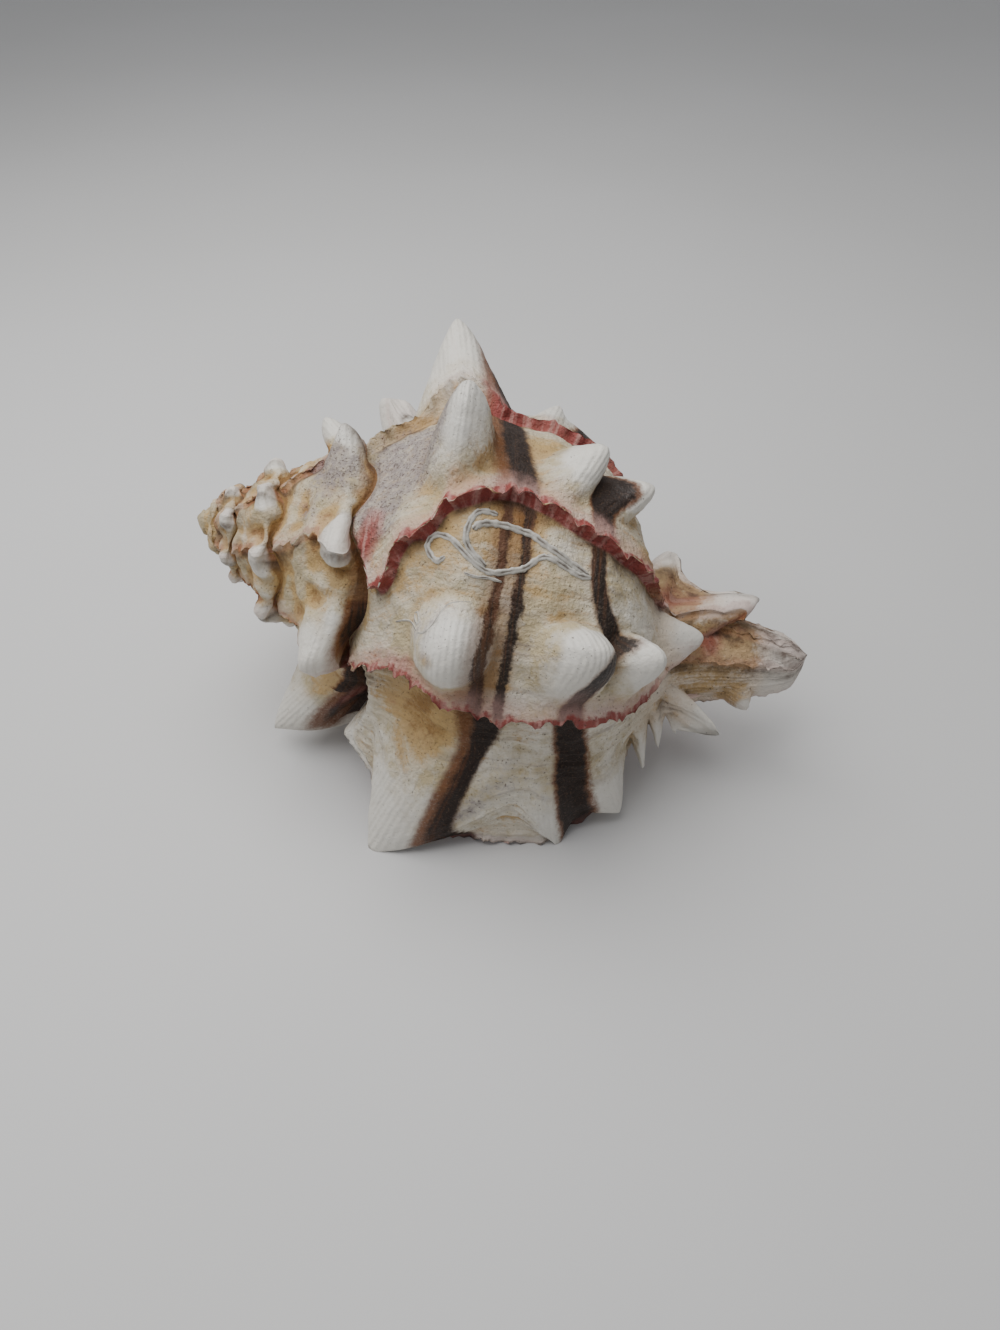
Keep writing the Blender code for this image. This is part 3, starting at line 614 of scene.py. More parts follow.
def strip(angles, rows, frill, depth):
    """Everything known of each grid point of a strip: place, growth, markings and fine relief."""
    turn, u = np.meshgrid(angles, rows, indexing="ij")
    beta = gathered(turn, u)
    along, radius = profile_at(beta, u)
    steps = np.hypot(np.diff(along, axis=1), np.diff(radius, axis=1))
    length = np.concatenate([np.zeros((len(angles), 1)), np.cumsum(steps, 1)], 1)
    at_shoulder = np.array([np.interp(SHOULDER_KNOT, rows, line) for line in length])
    length = length - at_shoulder[:, None]
    points, knob = grown(beta, u, length, frill)
    knob = np.maximum(knob, CANAL_TIP_GLOSS * ease((along - CANAL_TIP) / 6.0))
    size = shoulder(beta)[2]
    behind, ahead, pink = edge_distances(beta, u, radius)
    pink = pink * (1 - 0.8 * knob * (beta > 150))
    band_one = (along - follow(beta, BAND_ONE)) / follow(beta, BAND_ONE_HALF)
    band_two = (along - follow(beta, BAND_TWO)) / follow(beta, BAND_TWO_HALF)
    band_two = band_two + OFF_BAND * (beta > BAND_TWO_ENDS)
    growth_mm = np.radians(swept(beta, u)) * LIP_SHOULDER_R * size
    canal = ease((u - 6.0) / 1.6)
    # Faint spiral threads, clearest on the spines, and growth ribs that crowd up behind each edge
    uneven = 0.6 + 0.4 * np.sin(growth_mm / 5.0 + np.sin(length / 4.0))
    threads = ripple(length / (size + 0.05), THREAD_SPACING, 0.7)
    threads = threads * (THREAD_HEIGHT + SPINE_THREAD_HEIGHT * knob) * uneven
    ribs = RIB_HEIGHT * ripple(growth_mm + 0.5 * np.sin(length / 3.7), RIB_SPACING, 1.9)
    ribs = ribs + FINE_RIB_HEIGHT * ripple(growth_mm, FINE_RIB_SPACING, 4.0)
    ledges = LEDGE_HEIGHT * ripple(growth_mm + 0.8 * np.sin(length / 5.0), LEDGE_SPACING, 0.4)
    ledges = ledges * ease((LEDGES_END - beta) / FADE_OUT) * (1 - knob)
    crowd = 0.25 + 2.2 * np.exp(-behind / 3.5) + 1.5 * ease((CROWDED_END - beta) / FADE_OUT)
    crowd = crowd * (1 - 0.8 * knob) * uneven * (1 - canal)
    aged = line_at(beta, AGED) * ease(size / 0.15)
    worn = weathering(points, size, aged, depth) * (1 - 0.75 * knob)
    inside = clear_of_seams(beta, u, 0.5, 0.7) * np.where(u > 11.5, 0.0, 1.0)
    relief = ((threads + ledges + ribs * crowd) * size + worn) * inside
    return {"points": points, "growth": growth_mm, "length": length, "relief": relief, "knob": knob,
            "behind": behind, "ahead": ahead, "band_one": band_one, "band_two": band_two,
            "split": line_at(beta, BAND_SPLIT), "dark": line_at(beta, BAND_DARK),
            "ochre": spots(beta, along, radius, OCHRE_SPOTS), "rose": spots(beta, along, radius, PINK_SPOTS),
            "pink": pink, "ashen_and_shaded": spots(beta, along, radius, ASHEN_AND_SHADED_SPOTS), "aged": aged, "canal": canal}


def grid(mesh, columns, rows):
    """A flat grid of vertices, as a table indexed by column and row."""
    made = bmesh.ops.create_grid(mesh, x_segments=columns - 1, y_segments=rows - 1, size=0.5)
    table = [[None] * rows for _ in range(columns)]
    for vertex in made["verts"]:
        column = round((vertex.co.x + 0.5) * (columns - 1))
        row = round((vertex.co.y + 0.5) * (rows - 1))
        table[column][row] = vertex
    return table


def place(table, strip_values, layers, growth_map):
    """Moves a grid's vertices to their grown places and writes the markings on each face corner."""
    where = {}
    for column, line in enumerate(table):
        for row, vertex in enumerate(line):
            vertex.co = Vector(strip_values["points"][column, row])
            vertex[layers["relief"]] = float(strip_values["relief"][column, row])
            where[vertex] = (column, row)
    faces = {face for line in table for vertex in line for face in vertex.link_faces}
    for face in faces:
        for loop in face.loops:
            at = where[loop.vert]
            loop[growth_map].uv = (strip_values["growth"][at], strip_values["length"][at])
            for name in MARKS:
                loop[layers[name]] = float(strip_values[name][at])


def resample(points, count, share):
    """Points of a line at the given shares of its length in steps."""
    steps = np.linspace(0, 1, count)
    return np.stack([np.interp(share, steps, points[:, i]) for i in (0, 1)], -1)


def inset(points, middle, wall):
    """Points moved in from a wall, but never past the middle of the gap."""
    gap = np.linalg.norm(points - middle, axis=1, keepdims=True) + 1e-6
    return points + (middle - points) * np.minimum(0.94, wall / gap)


def pocket_loops(lip_rows, inner_rows):
    """Loops of points lining the mouth, from just inside its rim back into the last turn."""
    lip_share = np.linspace(0, 1, len(lip_rows))
    inner_share = np.linspace(1, 0, len(inner_rows))[1:-1]
    columella = np.stack(profile_at(np.full_like(inner_rows, INNER_LIP), inner_rows), -1)
    columella = resample(columella, len(inner_rows), lip_share)
    theta = np.concatenate([math.pi * (1 - lip_share), math.pi * (inner_share - 1)])
    loops = []
    for k in range(POCKET_LOOPS):
        t = k / (POCKET_LOOPS - 1)
        depth = POCKET_START + POCKET_DEPTH * t**1.5
        outer = np.stack(profile_at(np.full_like(lip_rows, depth), lip_rows), -1)
        widened, turned = flare(np.full_like(lip_rows, depth), outer[:, 1], lip_rows)
        outer[:, 1] += widened
        middle = 0.5 * (outer + columella)
        inner = resample(columella, len(lip_rows), inner_share)
        inner_middle = resample(middle, len(lip_rows), inner_share)
        around = np.concatenate([inset(outer, middle, WALL), inset(inner, inner_middle, INNER_WALL)])
        size = shoulder(np.asarray(depth))[2]
        centre = np.array(TUNNEL_CENTRE) * size
        ring = centre + np.stack([np.cos(theta), np.sin(theta)], -1) * np.array(TUNNEL_HALF) * size
        morph = ease(t / TUNNEL_FROM)
        shape = around + (ring - around) * morph
        shape = centre + (shape - centre) * (1 - POCKET_NARROWS * ease(2 * t - 1))
        outwards = np.concatenate([turned, np.zeros(len(inner))]) * (1 - morph)
        loops.append(to_space(shape[:, 0], shape[:, 1], LIP_ANGLE + depth + outwards))
    return loops


def line_mouth(mesh, rim_layer, lip_rows, inner_rows):
    """Extrudes the mouth's rim inwards, loop by loop, and closes the end."""
    rim = [edge for edge in mesh.edges if edge.is_boundary]
    lining = []
    for points in pocket_loops(lip_rows, inner_rows):
        made = bmesh.ops.extrude_edge_only(mesh, edges=rim)["geom"]
        rim = [item for item in made if isinstance(item, bmesh.types.BMEdge) and item.is_boundary]
        lining += [item for item in made if isinstance(item, bmesh.types.BMFace)]
        for vertex in {v for edge in rim for v in edge.verts}:
            vertex.co = Vector(points[vertex[rim_layer] - 1])
    end = bmesh.ops.holes_fill(mesh, edges=rim, sides=0)["faces"]
    lining += bmesh.ops.poke(mesh, faces=end)["faces"]
    for face in lining:
        face.material_index = 1


def shell_mesh(frill, depth):
    """The whole skin as one closed mesh in millimetres, its axis middle at the origin."""
    angles = column_angles()
    old_angles = np.concatenate([angles[::2] + 360.0 * turn for turn in range(1, TURNS)])
    keep = np.concatenate([[True], np.diff(old_angles) > 1e-9])
    old_angles = old_angles[keep]
    upper = spread(UPPER_ROWS, 0.0, SEAM_KNOT)
    rows = np.concatenate([upper, spread(LOWER_ROWS, SEAM_KNOT, TIP_KNOT)[1:]])
    old_rows = np.interp(np.linspace(0, UPPER_ROWS, OLD_ROWS + 1), np.arange(UPPER_ROWS + 1), upper)
    mesh = bmesh.new()
    growth_map = mesh.loops.layers.uv.new("growth")
    layers = {name: mesh.loops.layers.float.new(name) for name in MARKS}
    layers["relief"] = mesh.verts.layers.float.new("relief")
    rim_layer = mesh.verts.layers.int.new("rim")
    new = grid(mesh, len(angles), len(rows))
    place(new, strip(angles, rows, frill, depth), layers, growth_map)
    old = grid(mesh, len(old_angles), len(old_rows))
    place(old, strip(old_angles, old_rows, frill, depth), layers, growth_map)
    last_row = len(rows) - 1
    half = COLUMNS // 2
    rim_places = [(0, row) for row in range(last_row + 1)]
    rim_places += [(COLUMNS, row) for row in range(last_row - 1, UPPER_ROWS, -1)]
    for number, (column, row) in enumerate(rim_places):
        new[column][row][rim_layer] = number + 1

    joins = {}

    def old_home(column, row):
        """The vertex of the older turns that a place on their seams is joined to."""
        if row == 0:
            if column + half >= len(old_angles) - 1:
                return old[-1][0]
            return old[column + half][OLD_ROWS]
        if column == len(old_angles) - 1:
            return old[-1][0]
        return old[column][row]

    for column in range(len(old_angles)):
        for row in (range(OLD_ROWS + 1) if column == len(old_angles) - 1 else (0,)):
            target = old_home(column, row)
            if old[column][row] is not target:
                joins[old[column][row]] = target
    for column in range(COLUMNS + 1):
        joins[new[column][0]] = old_home(column // 2, OLD_ROWS)
        if column:
            joins[new[column][last_row]] = new[0][last_row]
    for row in range(1, UPPER_ROWS + 1):
        joins[new[COLUMNS][row]] = old_home(0, round(row * OLD_ROWS / UPPER_ROWS))
    for vertex, target in list(joins.items()):
        while target in joins:
            target = joins[target]
        joins[vertex] = target
    for vertex, target in joins.items():
        if vertex[rim_layer]:
            target[rim_layer] = vertex[rim_layer]
    bmesh.ops.weld_verts(mesh, targetmap={v: t for v, t in joins.items() if v is not t})
    bmesh.ops.recalc_face_normals(mesh, faces=mesh.faces)
    mesh.normal_update()
    lift = layers["relief"]
    moved = [(vertex, vertex.co + vertex.normal * vertex[lift]) for vertex in mesh.verts]
    for vertex, spot in moved:
        vertex.co = spot
    line_mouth(mesh, rim_layer, rows, rows[UPPER_ROWS:])
    bmesh.ops.recalc_face_normals(mesh, faces=mesh.faces)
    find_recesses(mesh)
    return mesh


def find_recesses(mesh):
    """Stores how deep each vertex lies below the mean of its neighbours, smoothed over a few steps."""
    mesh.normal_update()
    mesh.verts.index_update()
    ends = np.array([(edge.verts[0].index, edge.verts[1].index) for edge in mesh.edges])
    places = np.array([vertex.co for vertex in mesh.verts])
    normals = np.array([vertex.normal for vertex in mesh.verts])
    count = np.bincount(ends.ravel(), minlength=len(places))[:, None]

    def around(values):
        total = np.zeros_like(values)
        for first, second in ((0, 1), (1, 0)):
            for axis in range(values.shape[1]):
                total[:, axis] += np.bincount(ends[:, first], values[ends[:, second], axis], len(values))
        return total / count

    smooth = places
    for _ in range(RECESS_STEPS):
        smooth = around(smooth)
    depth = ((smooth - places) * normals).sum(1, keepdims=True)
    for _ in range(2):
        depth = around(depth)
    layer = mesh.verts.layers.float.new("recess")
    for vertex, value in zip(mesh.verts, depth[:, 0]):
        vertex[layer] = float(value)


def set_on_floor(mesh):
    """Moves the mesh from its axis to the part's frame in metres, and cuts the worn flats it rests on."""
    bmesh.ops.translate(mesh, verts=mesh.verts, vec=Vector(AXIS_MIDDLE))
    whole = list(mesh.verts) + list(mesh.edges) + list(mesh.faces)
    cut = bmesh.ops.bisect_plane(mesh, geom=whole, plane_co=(0, 0, 0), plane_no=(0, 0, -1), clear_outer=True)
    rims = [item for item in cut["geom_cut"] if isinstance(item, bmesh.types.BMEdge)]
    bmesh.ops.holes_fill(mesh, edges=rims, sides=0)
    bmesh.ops.scale(mesh, verts=mesh.verts, vec=(MM * FIT, MM * FIT, MM * FIT))


def finished(name, mesh, materials):
    """A smooth-shaded object at the origin from a mesh, riding on the part's body."""
    data = bpy.data.meshes.new(name)
    mesh.to_mesh(data)
    mesh.free()
    for made in materials:
        data.materials.append(made)
    data.shade_smooth()
    piece = bpy.data.objects.new(name, data)
    bpy.context.scene.collection.objects.link(piece)
    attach(piece, "root")
    return piece


def linear(code):
    """Linear colour from an sRGB hex code."""
    out = []
    for i in (0, 2, 4):
        part = int(code[i:i + 2], 16) / 255
        out.append(part / 12.92 if part <= 0.04045 else ((part + 0.055) / 1.055) ** 2.4)
    return (*out, 1.0)


def add(tree, kind, inputs=None, out=0, **settings):
    """Adds a shader node with its settings, input values and links, and returns the asked output."""
    made = tree.nodes.new("ShaderNode" + kind)
    for name, value in settings.items():
        setattr(made, name, value)
    for socket, value in (inputs or {}).items():
        if isinstance(value, bpy.types.NodeSocket):
            tree.links.new(value, made.inputs[socket])
        else:
            made.inputs[socket].default_value = value
    return made.outputs[out]


def new_material(name):
    """A named material with its node tree and shader."""
    made = bpy.data.materials.new(name)
    made.use_nodes = True
    return made, made.node_tree, made.node_tree.nodes["Principled BSDF"]


def bleached_calcite(settings):
    """Sun-bleached calcite of the outside: chalky and matt, with stains and painted shade, and polished
    where it is worn.
    """
    material, tree, shader = new_material("bleached_calcite")
    metres = add(tree, "TexCoord", out="Object")
    in_mm = add(tree, "Mapping", {"Vector": metres, "Scale": (1 / MM, 1 / MM, 1 / MM)})
    growth = add(tree, "UVMap", uv_map="growth")
    beside_lip, round_coil, across_edge = (
        add(tree, "Mapping", {"Vector": growth, "Scale": scale})
        for scale in ((0.8, 0.06, 1.0), (0.035, 1.15, 1.0), (0.14, 1.0, 1.0)))
    mark = {name: add(tree, "Attribute", out="Fac", attribute_name=name) for name in MARKS + ("recess",)}

    # Noises of 13, 3.6, 1.3, 0.7 and 0.4 mm, growth streaks beside the lip, threads round the coil, and
    # folds across the frilled edges
    clouds, mottle, lumps, grain, pepper, streaks, threads, folds = (
        add(tree, "TexNoise", {"Vector": where, "Scale": 1 / size, "Detail": detail, "Roughness": roughness})
        for where, size, detail, roughness in (
            (in_mm, 13, 4.0, 0.6), (in_mm, 3.6, 5.0, 0.65), (in_mm, 1.3, 3.0, 0.6), (in_mm, 0.7, 3.0, 0.65),
            (in_mm, 0.4, 1.0, 0.5), (beside_lip, 1, 3.0, 0.6), (round_coil, 1, 3.0, 0.6),
            (across_edge, 1, 2.0, 0.5)))
    # Hollows and crests from the recess attribute: the hollows deepen the ochre stain, partly as painted
    # shade
    hollow_stain_and_shade = add(tree, "MapRange", {0: mark["recess"], 1: -0.1, 2: 0.5}, **SMOOTH)
    crest = add(tree, "MapRange", {0: mark["recess"], 1: -0.15, 2: -0.8}, **SMOOTH)
    old_hollow_stain_and_shade = add(tree, "Math", {0: hollow_stain_and_shade, 1: mark["aged"]}, operation="MULTIPLY")
    fading = add(tree, "MapRange", {0: mark["canal"], 3: 0.9, 4: 0.0})

    # Weighted sums: a first term, then sources with their weights
    sums = {
        "pale": (clouds, (mottle, 0.8), (grain, 0.35)),
        # The stain sum takes in the hollows, which adds painted shade there
        "stain": (mark["ochre"], (mottle, 1.6), (clouds, 1.4), (streaks, fading), (grain, 0.9),
                  (hollow_stain_and_shade, 0.4), (old_hollow_stain_and_shade, 1.5), (crest, -0.9), (mark["aged"], 0.3),
                  (mark["canal"], 0.35), (mark["knob"], -0.5)),
        "ashen_and_shaded": (mark["ashen_and_shaded"], (mottle, 1.1), (grain, 0.8)),
        "polish": (mark["knob"], (mottle, 0.4), (mark["ochre"], -0.35), (crest, 0.5),
                   (mark["ashen_and_shaded"], -0.55)),
        "ragged": (-0.62, (mottle, 0.8), (grain, 0.45)),
        "between": (0.95, (mark["split"], -0.4)),
        "darkness": (mark["dark"], (threads, 2.6), (grain, 0.5)),
        "reach": (mark["behind"], (mottle, -4.0)),
        "blush": (mark["rose"], (streaks, 0.9), (mottle, 1.7)),
        "pleats": (folds, (grain, 0.35)),
    }
    for name, (total, *terms) in sums.items():
        for source, weight in terms:
            total = add(tree, "Math", {0: source, 1: weight, 2: total}, operation="MULTIPLY_ADD")
        sums[name] = total

    # Cream ground with ivory clouds, pinkish on the canal, and grey streaks off it: partly weathering,
    # partly painted shade of the growth lines
    pale = add(tree, "MapRange", {0: sums["pale"], 1: 0.93, 2: 1.22})
    fleshy = add(tree, "MapRange", {0: mark["canal"], 4: 0.7})
    fresh = add(tree, "MapRange", {0: mark["canal"], 3: 1.0, 4: 0.0})
    greyed_and_shaded = add(tree, "MapRange", {0: streaks, 1: 0.5, 2: 0.68, 4: 0.4}, **SMOOTH)
    greyed_and_shaded = add(tree, "Math", {0: greyed_and_shaded, 1: fresh}, operation="MULTIPLY")

    # Ochre in patches and pores and all over the old turns, deeper in the hollows, where it is partly
    # painted shade
    light_stain_and_shade = add(tree, "MapRange", {0: sums["stain"], 1: 2.35, 2: 3.0, 4: 0.85}, **SMOOTH)
    deep_stain_and_shade = add(tree, "MapRange", {0: sums["stain"], 1: 3.1, 2: 3.9, 4: 0.85}, **SMOOTH)

    # Grey-lilac patches, weathering in most places and painted shade on two knobs and the lip's face, and
    # polished white spines
    ashen_and_shaded = add(tree, "MapRange", {0: sums["ashen_and_shaded"], 1: 1.2, 2: 1.75, 4: 0.9}, **SMOOTH)
    dusted = add(tree, "MapRange", {0: lumps, 1: 0.64, 2: 0.44, 3: 0.6, 4: 1.0})
    ashen_and_shaded = add(tree, "Math", {0: ashen_and_shaded, 1: dusted}, operation="MULTIPLY")
    polish = add(tree, "MapRange", {0: sums["polish"], 1: 0.4, 2: 0.85, 4: 0.9}, **SMOOTH)

    # Stained bands, umber to chocolate, with streaks along them and painted shadow just under the edge at
    # 60: band one is whole or split into two lines, and its amber border runs wider on the side towards the
    #     spire
    one, two = (add(tree, "Math", {0: mark[name], 1: sums["ragged"]}, operation="ADD")
                for name in ("band_one", "band_two"))
    one_side, two_side = (add(tree, "Math", {0: side}, operation="ABSOLUTE") for side in (one, two))
    off_line, one_core, one_wide = (
        add(tree, "Math", {0: add(tree, "Math", {0: side, 1: shift}, operation="ADD")}, operation="ABSOLUTE")
        for side, shift in ((one_side, -0.68), (one, -0.2), (one, 0.25)))
    two_lines, one_whole, two_band, one_halo, two_halo = (
        add(tree, "MapRange", {0: off, 1: outer, 2: inner}, **SMOOTH)
        for off, outer, inner in ((off_line, 0.46, 0.2), (one_core, 1.2, 0.6), (two_side, 1.15, 0.8),
                                  (one_wide, 1.75, 0.9), (two_side, 1.5, 1.0)))
    one_band = add(tree, "Mix", {0: mark["split"], 2: one_whole, 3: two_lines})
    visible = add(tree, "MapRange", {0: mark["dark"], 1: 0.0, 2: 0.35})
    dusty = add(tree, "MapRange", {0: pepper, 1: 0.72, 2: 0.56, 3: 0.78, 4: 0.97})
    visible = add(tree, "Math", {0: visible, 1: dusty}, operation="MULTIPLY")
    band = add(tree, "Math", {0: one_band, 1: two_band}, operation="MAXIMUM")
    band = add(tree, "Math", {0: band, 1: visible}, operation="MULTIPLY")
    halo = add(tree, "Math", {0: one_halo, 1: two_halo}, operation="MAXIMUM")
    for share in (visible, sums["between"]):
        halo = add(tree, "Math", {0: halo, 1: share}, operation="MULTIPLY")
    shaded = add(tree, "MapRange", {0: one, 1: -1.0, 2: 1.0, 3: -0.3, 4: 0.2})
    darkness = add(tree, "Math", {0: shaded, 1: sums["darkness"]}, operation="ADD")
    darkness = add(tree, "MapRange", {0: darkness, 1: 1.75, 2: 2.5}, **SMOOTH)
    brown = add(tree, "Mix", {0: darkness, 6: settings.umber, 7: settings.chocolate}, 2, data_type="RGBA")

    # Frilled edges: a rose face and rim with paler pleats, a faint flush behind the rim, and rose patches
    rim = add(tree, "MapRange", {0: sums["reach"], 1: -0.9, 2: -1.6}, **SMOOTH)
    face = add(tree, "MapRange", {0: mark["ahead"], 1: 1.7, 2: 1.0}, **SMOOTH)
    frill = add(tree, "Math", {0: rim, 1: face}, operation="MAXIMUM")
    flush = add(tree, "MapRange", {0: sums["reach"], 1: 2.6, 2: -1.5, 4: 0.55}, **SMOOTH)
    frill, flush = (add(tree, "Math", {0: factor, 1: mark["pink"]}, operation="MULTIPLY")
                    for factor in (frill, flush))
    blush = add(tree, "MapRange", {0: sums["blush"], 1: 1.75, 2: 2.7, 4: 0.9}, **SMOOTH)
    for share in (mark["rose"], 0.5):
        blush = add(tree, "Math", {0: blush, 1: share}, operation="MULTIPLY")
    frill = add(tree, "Math", {0: frill, 1: blush}, operation="MAXIMUM")
    pleats = add(tree, "MapRange", {0: sums["pleats"], 1: 0.6, 2: 0.86, 4: 0.5}, **SMOOTH)
    rosy = add(tree, "Mix", {0: pleats, 6: settings.rose, 7: settings.pale_rose}, 2, data_type="RGBA")

    # Painted shade with some dirt just past an edge, under its step, and in the deepest hollows, and dark
    # pits
    near = add(tree, "MapRange", {0: mark["ahead"], 1: 0.9, 2: 1.5})
    past = add(tree, "MapRange", {0: mark["ahead"], 1: 4.2, 2: 1.5, 4: 0.9}, **SMOOTH)
    shade_and_dirt_in_hollows = add(tree, "MapRange", {0: mark["recess"], 1: 0.45, 2: 1.3, 4: 0.8}, **SMOOTH)
    off_rim = add(tree, "MapRange", {0: mark["behind"], 1: 1.0, 2: 4.0})
    patchy = add(tree, "MapRange", {0: mottle, 1: 0.38, 2: 0.62, 3: 0.25, 4: 0.95})
    shadow_and_dirt_under_edges, shade_and_dirt_in_hollows = (add(tree, "Math", {0: factor, 1: limit}, operation="MULTIPLY")
                     for factor, limit in ((near, past), (shade_and_dirt_in_hollows, off_rim)))
    dirt_and_shade = add(tree, "Math", {0: shadow_and_dirt_under_edges, 1: shade_and_dirt_in_hollows}, operation="MAXIMUM")
    dirt_and_shade = add(tree, "Math", {0: dirt_and_shade, 1: patchy}, operation="MULTIPLY")
    pitted = pepper
    for source, weight in ((ashen_and_shaded, 0.11), (mark["knob"], -0.08)):
        pitted = add(tree, "Math", {0: source, 1: weight, 2: pitted}, operation="MULTIPLY_ADD")
    pitted = add(tree, "MapRange", {0: pitted, 1: 0.65, 2: 0.77, 4: 0.6}, **SMOOTH)

    colour = settings.cream
    for factor, over in ((pale, settings.ivory), (fleshy, settings.flesh), (greyed_and_shaded, settings.ash_and_shade_grey),
                         (light_stain_and_shade, settings.ochre), (deep_stain_and_shade, settings.tan), (ashen_and_shaded, settings.ash_and_shade_grey),
                         (polish, settings.white), (halo, settings.amber), (band, brown),
                         (flush, settings.pale_rose), (frill, rosy), (dirt_and_shade, settings.dirt_and_shade),
                         (pitted, settings.dirt_and_shade)):
        colour = add(tree, "Mix", {0: factor, 6: colour, 7: over}, 2, data_type="RGBA")
    rough = 0.6
    for source, weight in ((polish, -0.28), (grain, 0.2)):
        rough = add(tree, "Math", {0: source, 1: weight, 2: rough}, operation="MULTIPLY_ADD")

    # Fine growth lines 0.75 mm apart, flutes 0.9 mm apart on the spines, lumps, grain and pits
    lines = add(tree, "TexWave", {"Vector": growth, "Scale": 0.314 / 0.75, "Distortion": 3.5, "Detail": 3.0,
                                  "Detail Scale": 0.6}, "Fac", bands_direction="X")
    flutes = add(tree, "TexWave", {"Vector": growth, "Scale": 0.314 / 0.9, "Distortion": 1.8, "Detail": 2.0,
                                   "Detail Scale": 0.5}, "Fac", bands_direction="Y")
    line_height = 0.06
    for source, weight in ((mark["canal"], -0.04), (mark["knob"], -0.1)):
        line_height = add(tree, "Math", {0: source, 1: weight, 2: line_height}, operation="MULTIPLY_ADD",
                          use_clamp=True)
    flute_height = 0.05
    for source, weight in ((mark["knob"], 0.17), (mark["canal"], -0.2)):
        flute_height = add(tree, "Math", {0: source, 1: weight, 2: flute_height}, operation="MULTIPLY_ADD",
                           use_clamp=True)
    grain_height = add(tree, "Math", {0: polish, 1: -0.65, 2: 0.9}, operation="MULTIPLY_ADD")
    height = add(tree, "Math", {0: lines, 1: line_height}, operation="MULTIPLY")
    for source, weight in ((flutes, flute_height), (grain, grain_height), (lumps, grain_height),
                           (mottle, 0.9), (pitted, -0.4)):
        height = add(tree, "Math", {0: source, 1: weight, 2: height}, operation="MULTIPLY_ADD")
    bump = add(tree, "Bump", {"Strength": 1.0, "Distance": 0.4 * MM, "Height": height})
    tree.links.new(colour, shader.inputs["Base Color"])
    tree.links.new(rough, shader.inputs["Roughness"])
    tree.links.new(bump, shader.inputs["Normal"])
    shader.inputs["IOR"].default_value = 1.52
    shader.inputs["Specular IOR Level"].default_value = 0.4
    return material


def mouth_enamel(settings):
    """Smooth glossy enamel that lines the mouth, pale with patches of pale rose."""
    material, tree, shader = new_material("mouth_enamel")
    metres = add(tree, "TexCoord", out="Object")
    clouds = add(tree, "TexNoise", {"Vector": metres, "Scale": 1 / (9 * MM), "Detail": 3.0})
    rosy = add(tree, "MapRange", {0: clouds, 1: 0.3, 2: 0.7})
    colour = add(tree, "Mix", {0: rosy, 6: settings.lining, 7: settings.pale_rose}, 2, data_type="RGBA")
    swells = add(tree, "TexNoise", {"Vector": metres, "Scale": 1 / (2.5 * MM), "Detail": 2.0})
    bump = add(tree, "Bump", {"Strength": 0.3, "Distance": 0.2 * MM, "Height": swells})
    tree.links.new(colour, shader.inputs["Base Color"])
    tree.links.new(bump, shader.inputs["Normal"])
    shader.inputs["Roughness"].default_value = 0.22
    shader.inputs["IOR"].default_value = 1.55
    return material


def tube_chalk(settings):
    """Cemented chalk of worm tubes: dull grey-white with dusty grooves."""
    material, tree, shader = new_material("tube_chalk")
    metres = add(tree, "TexCoord", out="Object")
    groove = add(tree, "Attribute", out="Fac", attribute_name="groove")
    grain = add(tree, "TexNoise", {"Vector": metres, "Scale": 1 / (0.6 * MM), "Detail": 3.0})
    dusty = add(tree, "Math", {0: grain, 1: 0.8, 2: groove}, operation="MULTIPLY_ADD")
    dusty = add(tree, "MapRange", {0: dusty, 1: 0.35, 2: 1.1})
    colour = add(tree, "Mix", {0: dusty, 6: settings.chalk, 7: settings.dust}, 2, data_type="RGBA")
    bump = add(tree, "Bump", {"Strength": 0.6, "Distance": 0.12 * MM, "Height": grain})
    tree.links.new(colour, shader.inputs["Base Color"])
    tree.links.new(bump, shader.inputs["Normal"])
    shader.inputs["Roughness"].default_value = 0.62
    return material


def table_laminate(settings):
    """Pale matt laminate of the table top, faintly uneven."""
    material, tree, shader = new_material("table_laminate")
    metres = add(tree, "TexCoord", out="Object")
    clouds = add(tree, "TexNoise", {"Vector": metres, "Scale": 1 / (150 * MM), "Detail": 2.0})
    tone = add(tree, "MapRange", {0: clouds, 1: 0.3, 2: 0.7})
    colour = add(tree, "Mix", {0: tone, 6: settings.floor_colour, 7: settings.floor_pale}, 2,
                 data_type="RGBA")
    tree.links.new(colour, shader.inputs["Base Color"])
    shader.inputs["Roughness"].default_value = 0.6
    return material


def colour_setting(name, description, code):
    """A colour property that starts from an sRGB hex code."""
    return bpy.props.FloatVectorProperty(name=name, description=description, default=linear(code), size=4,
                                         min=0.0, max=1.0, subtype="COLOR")


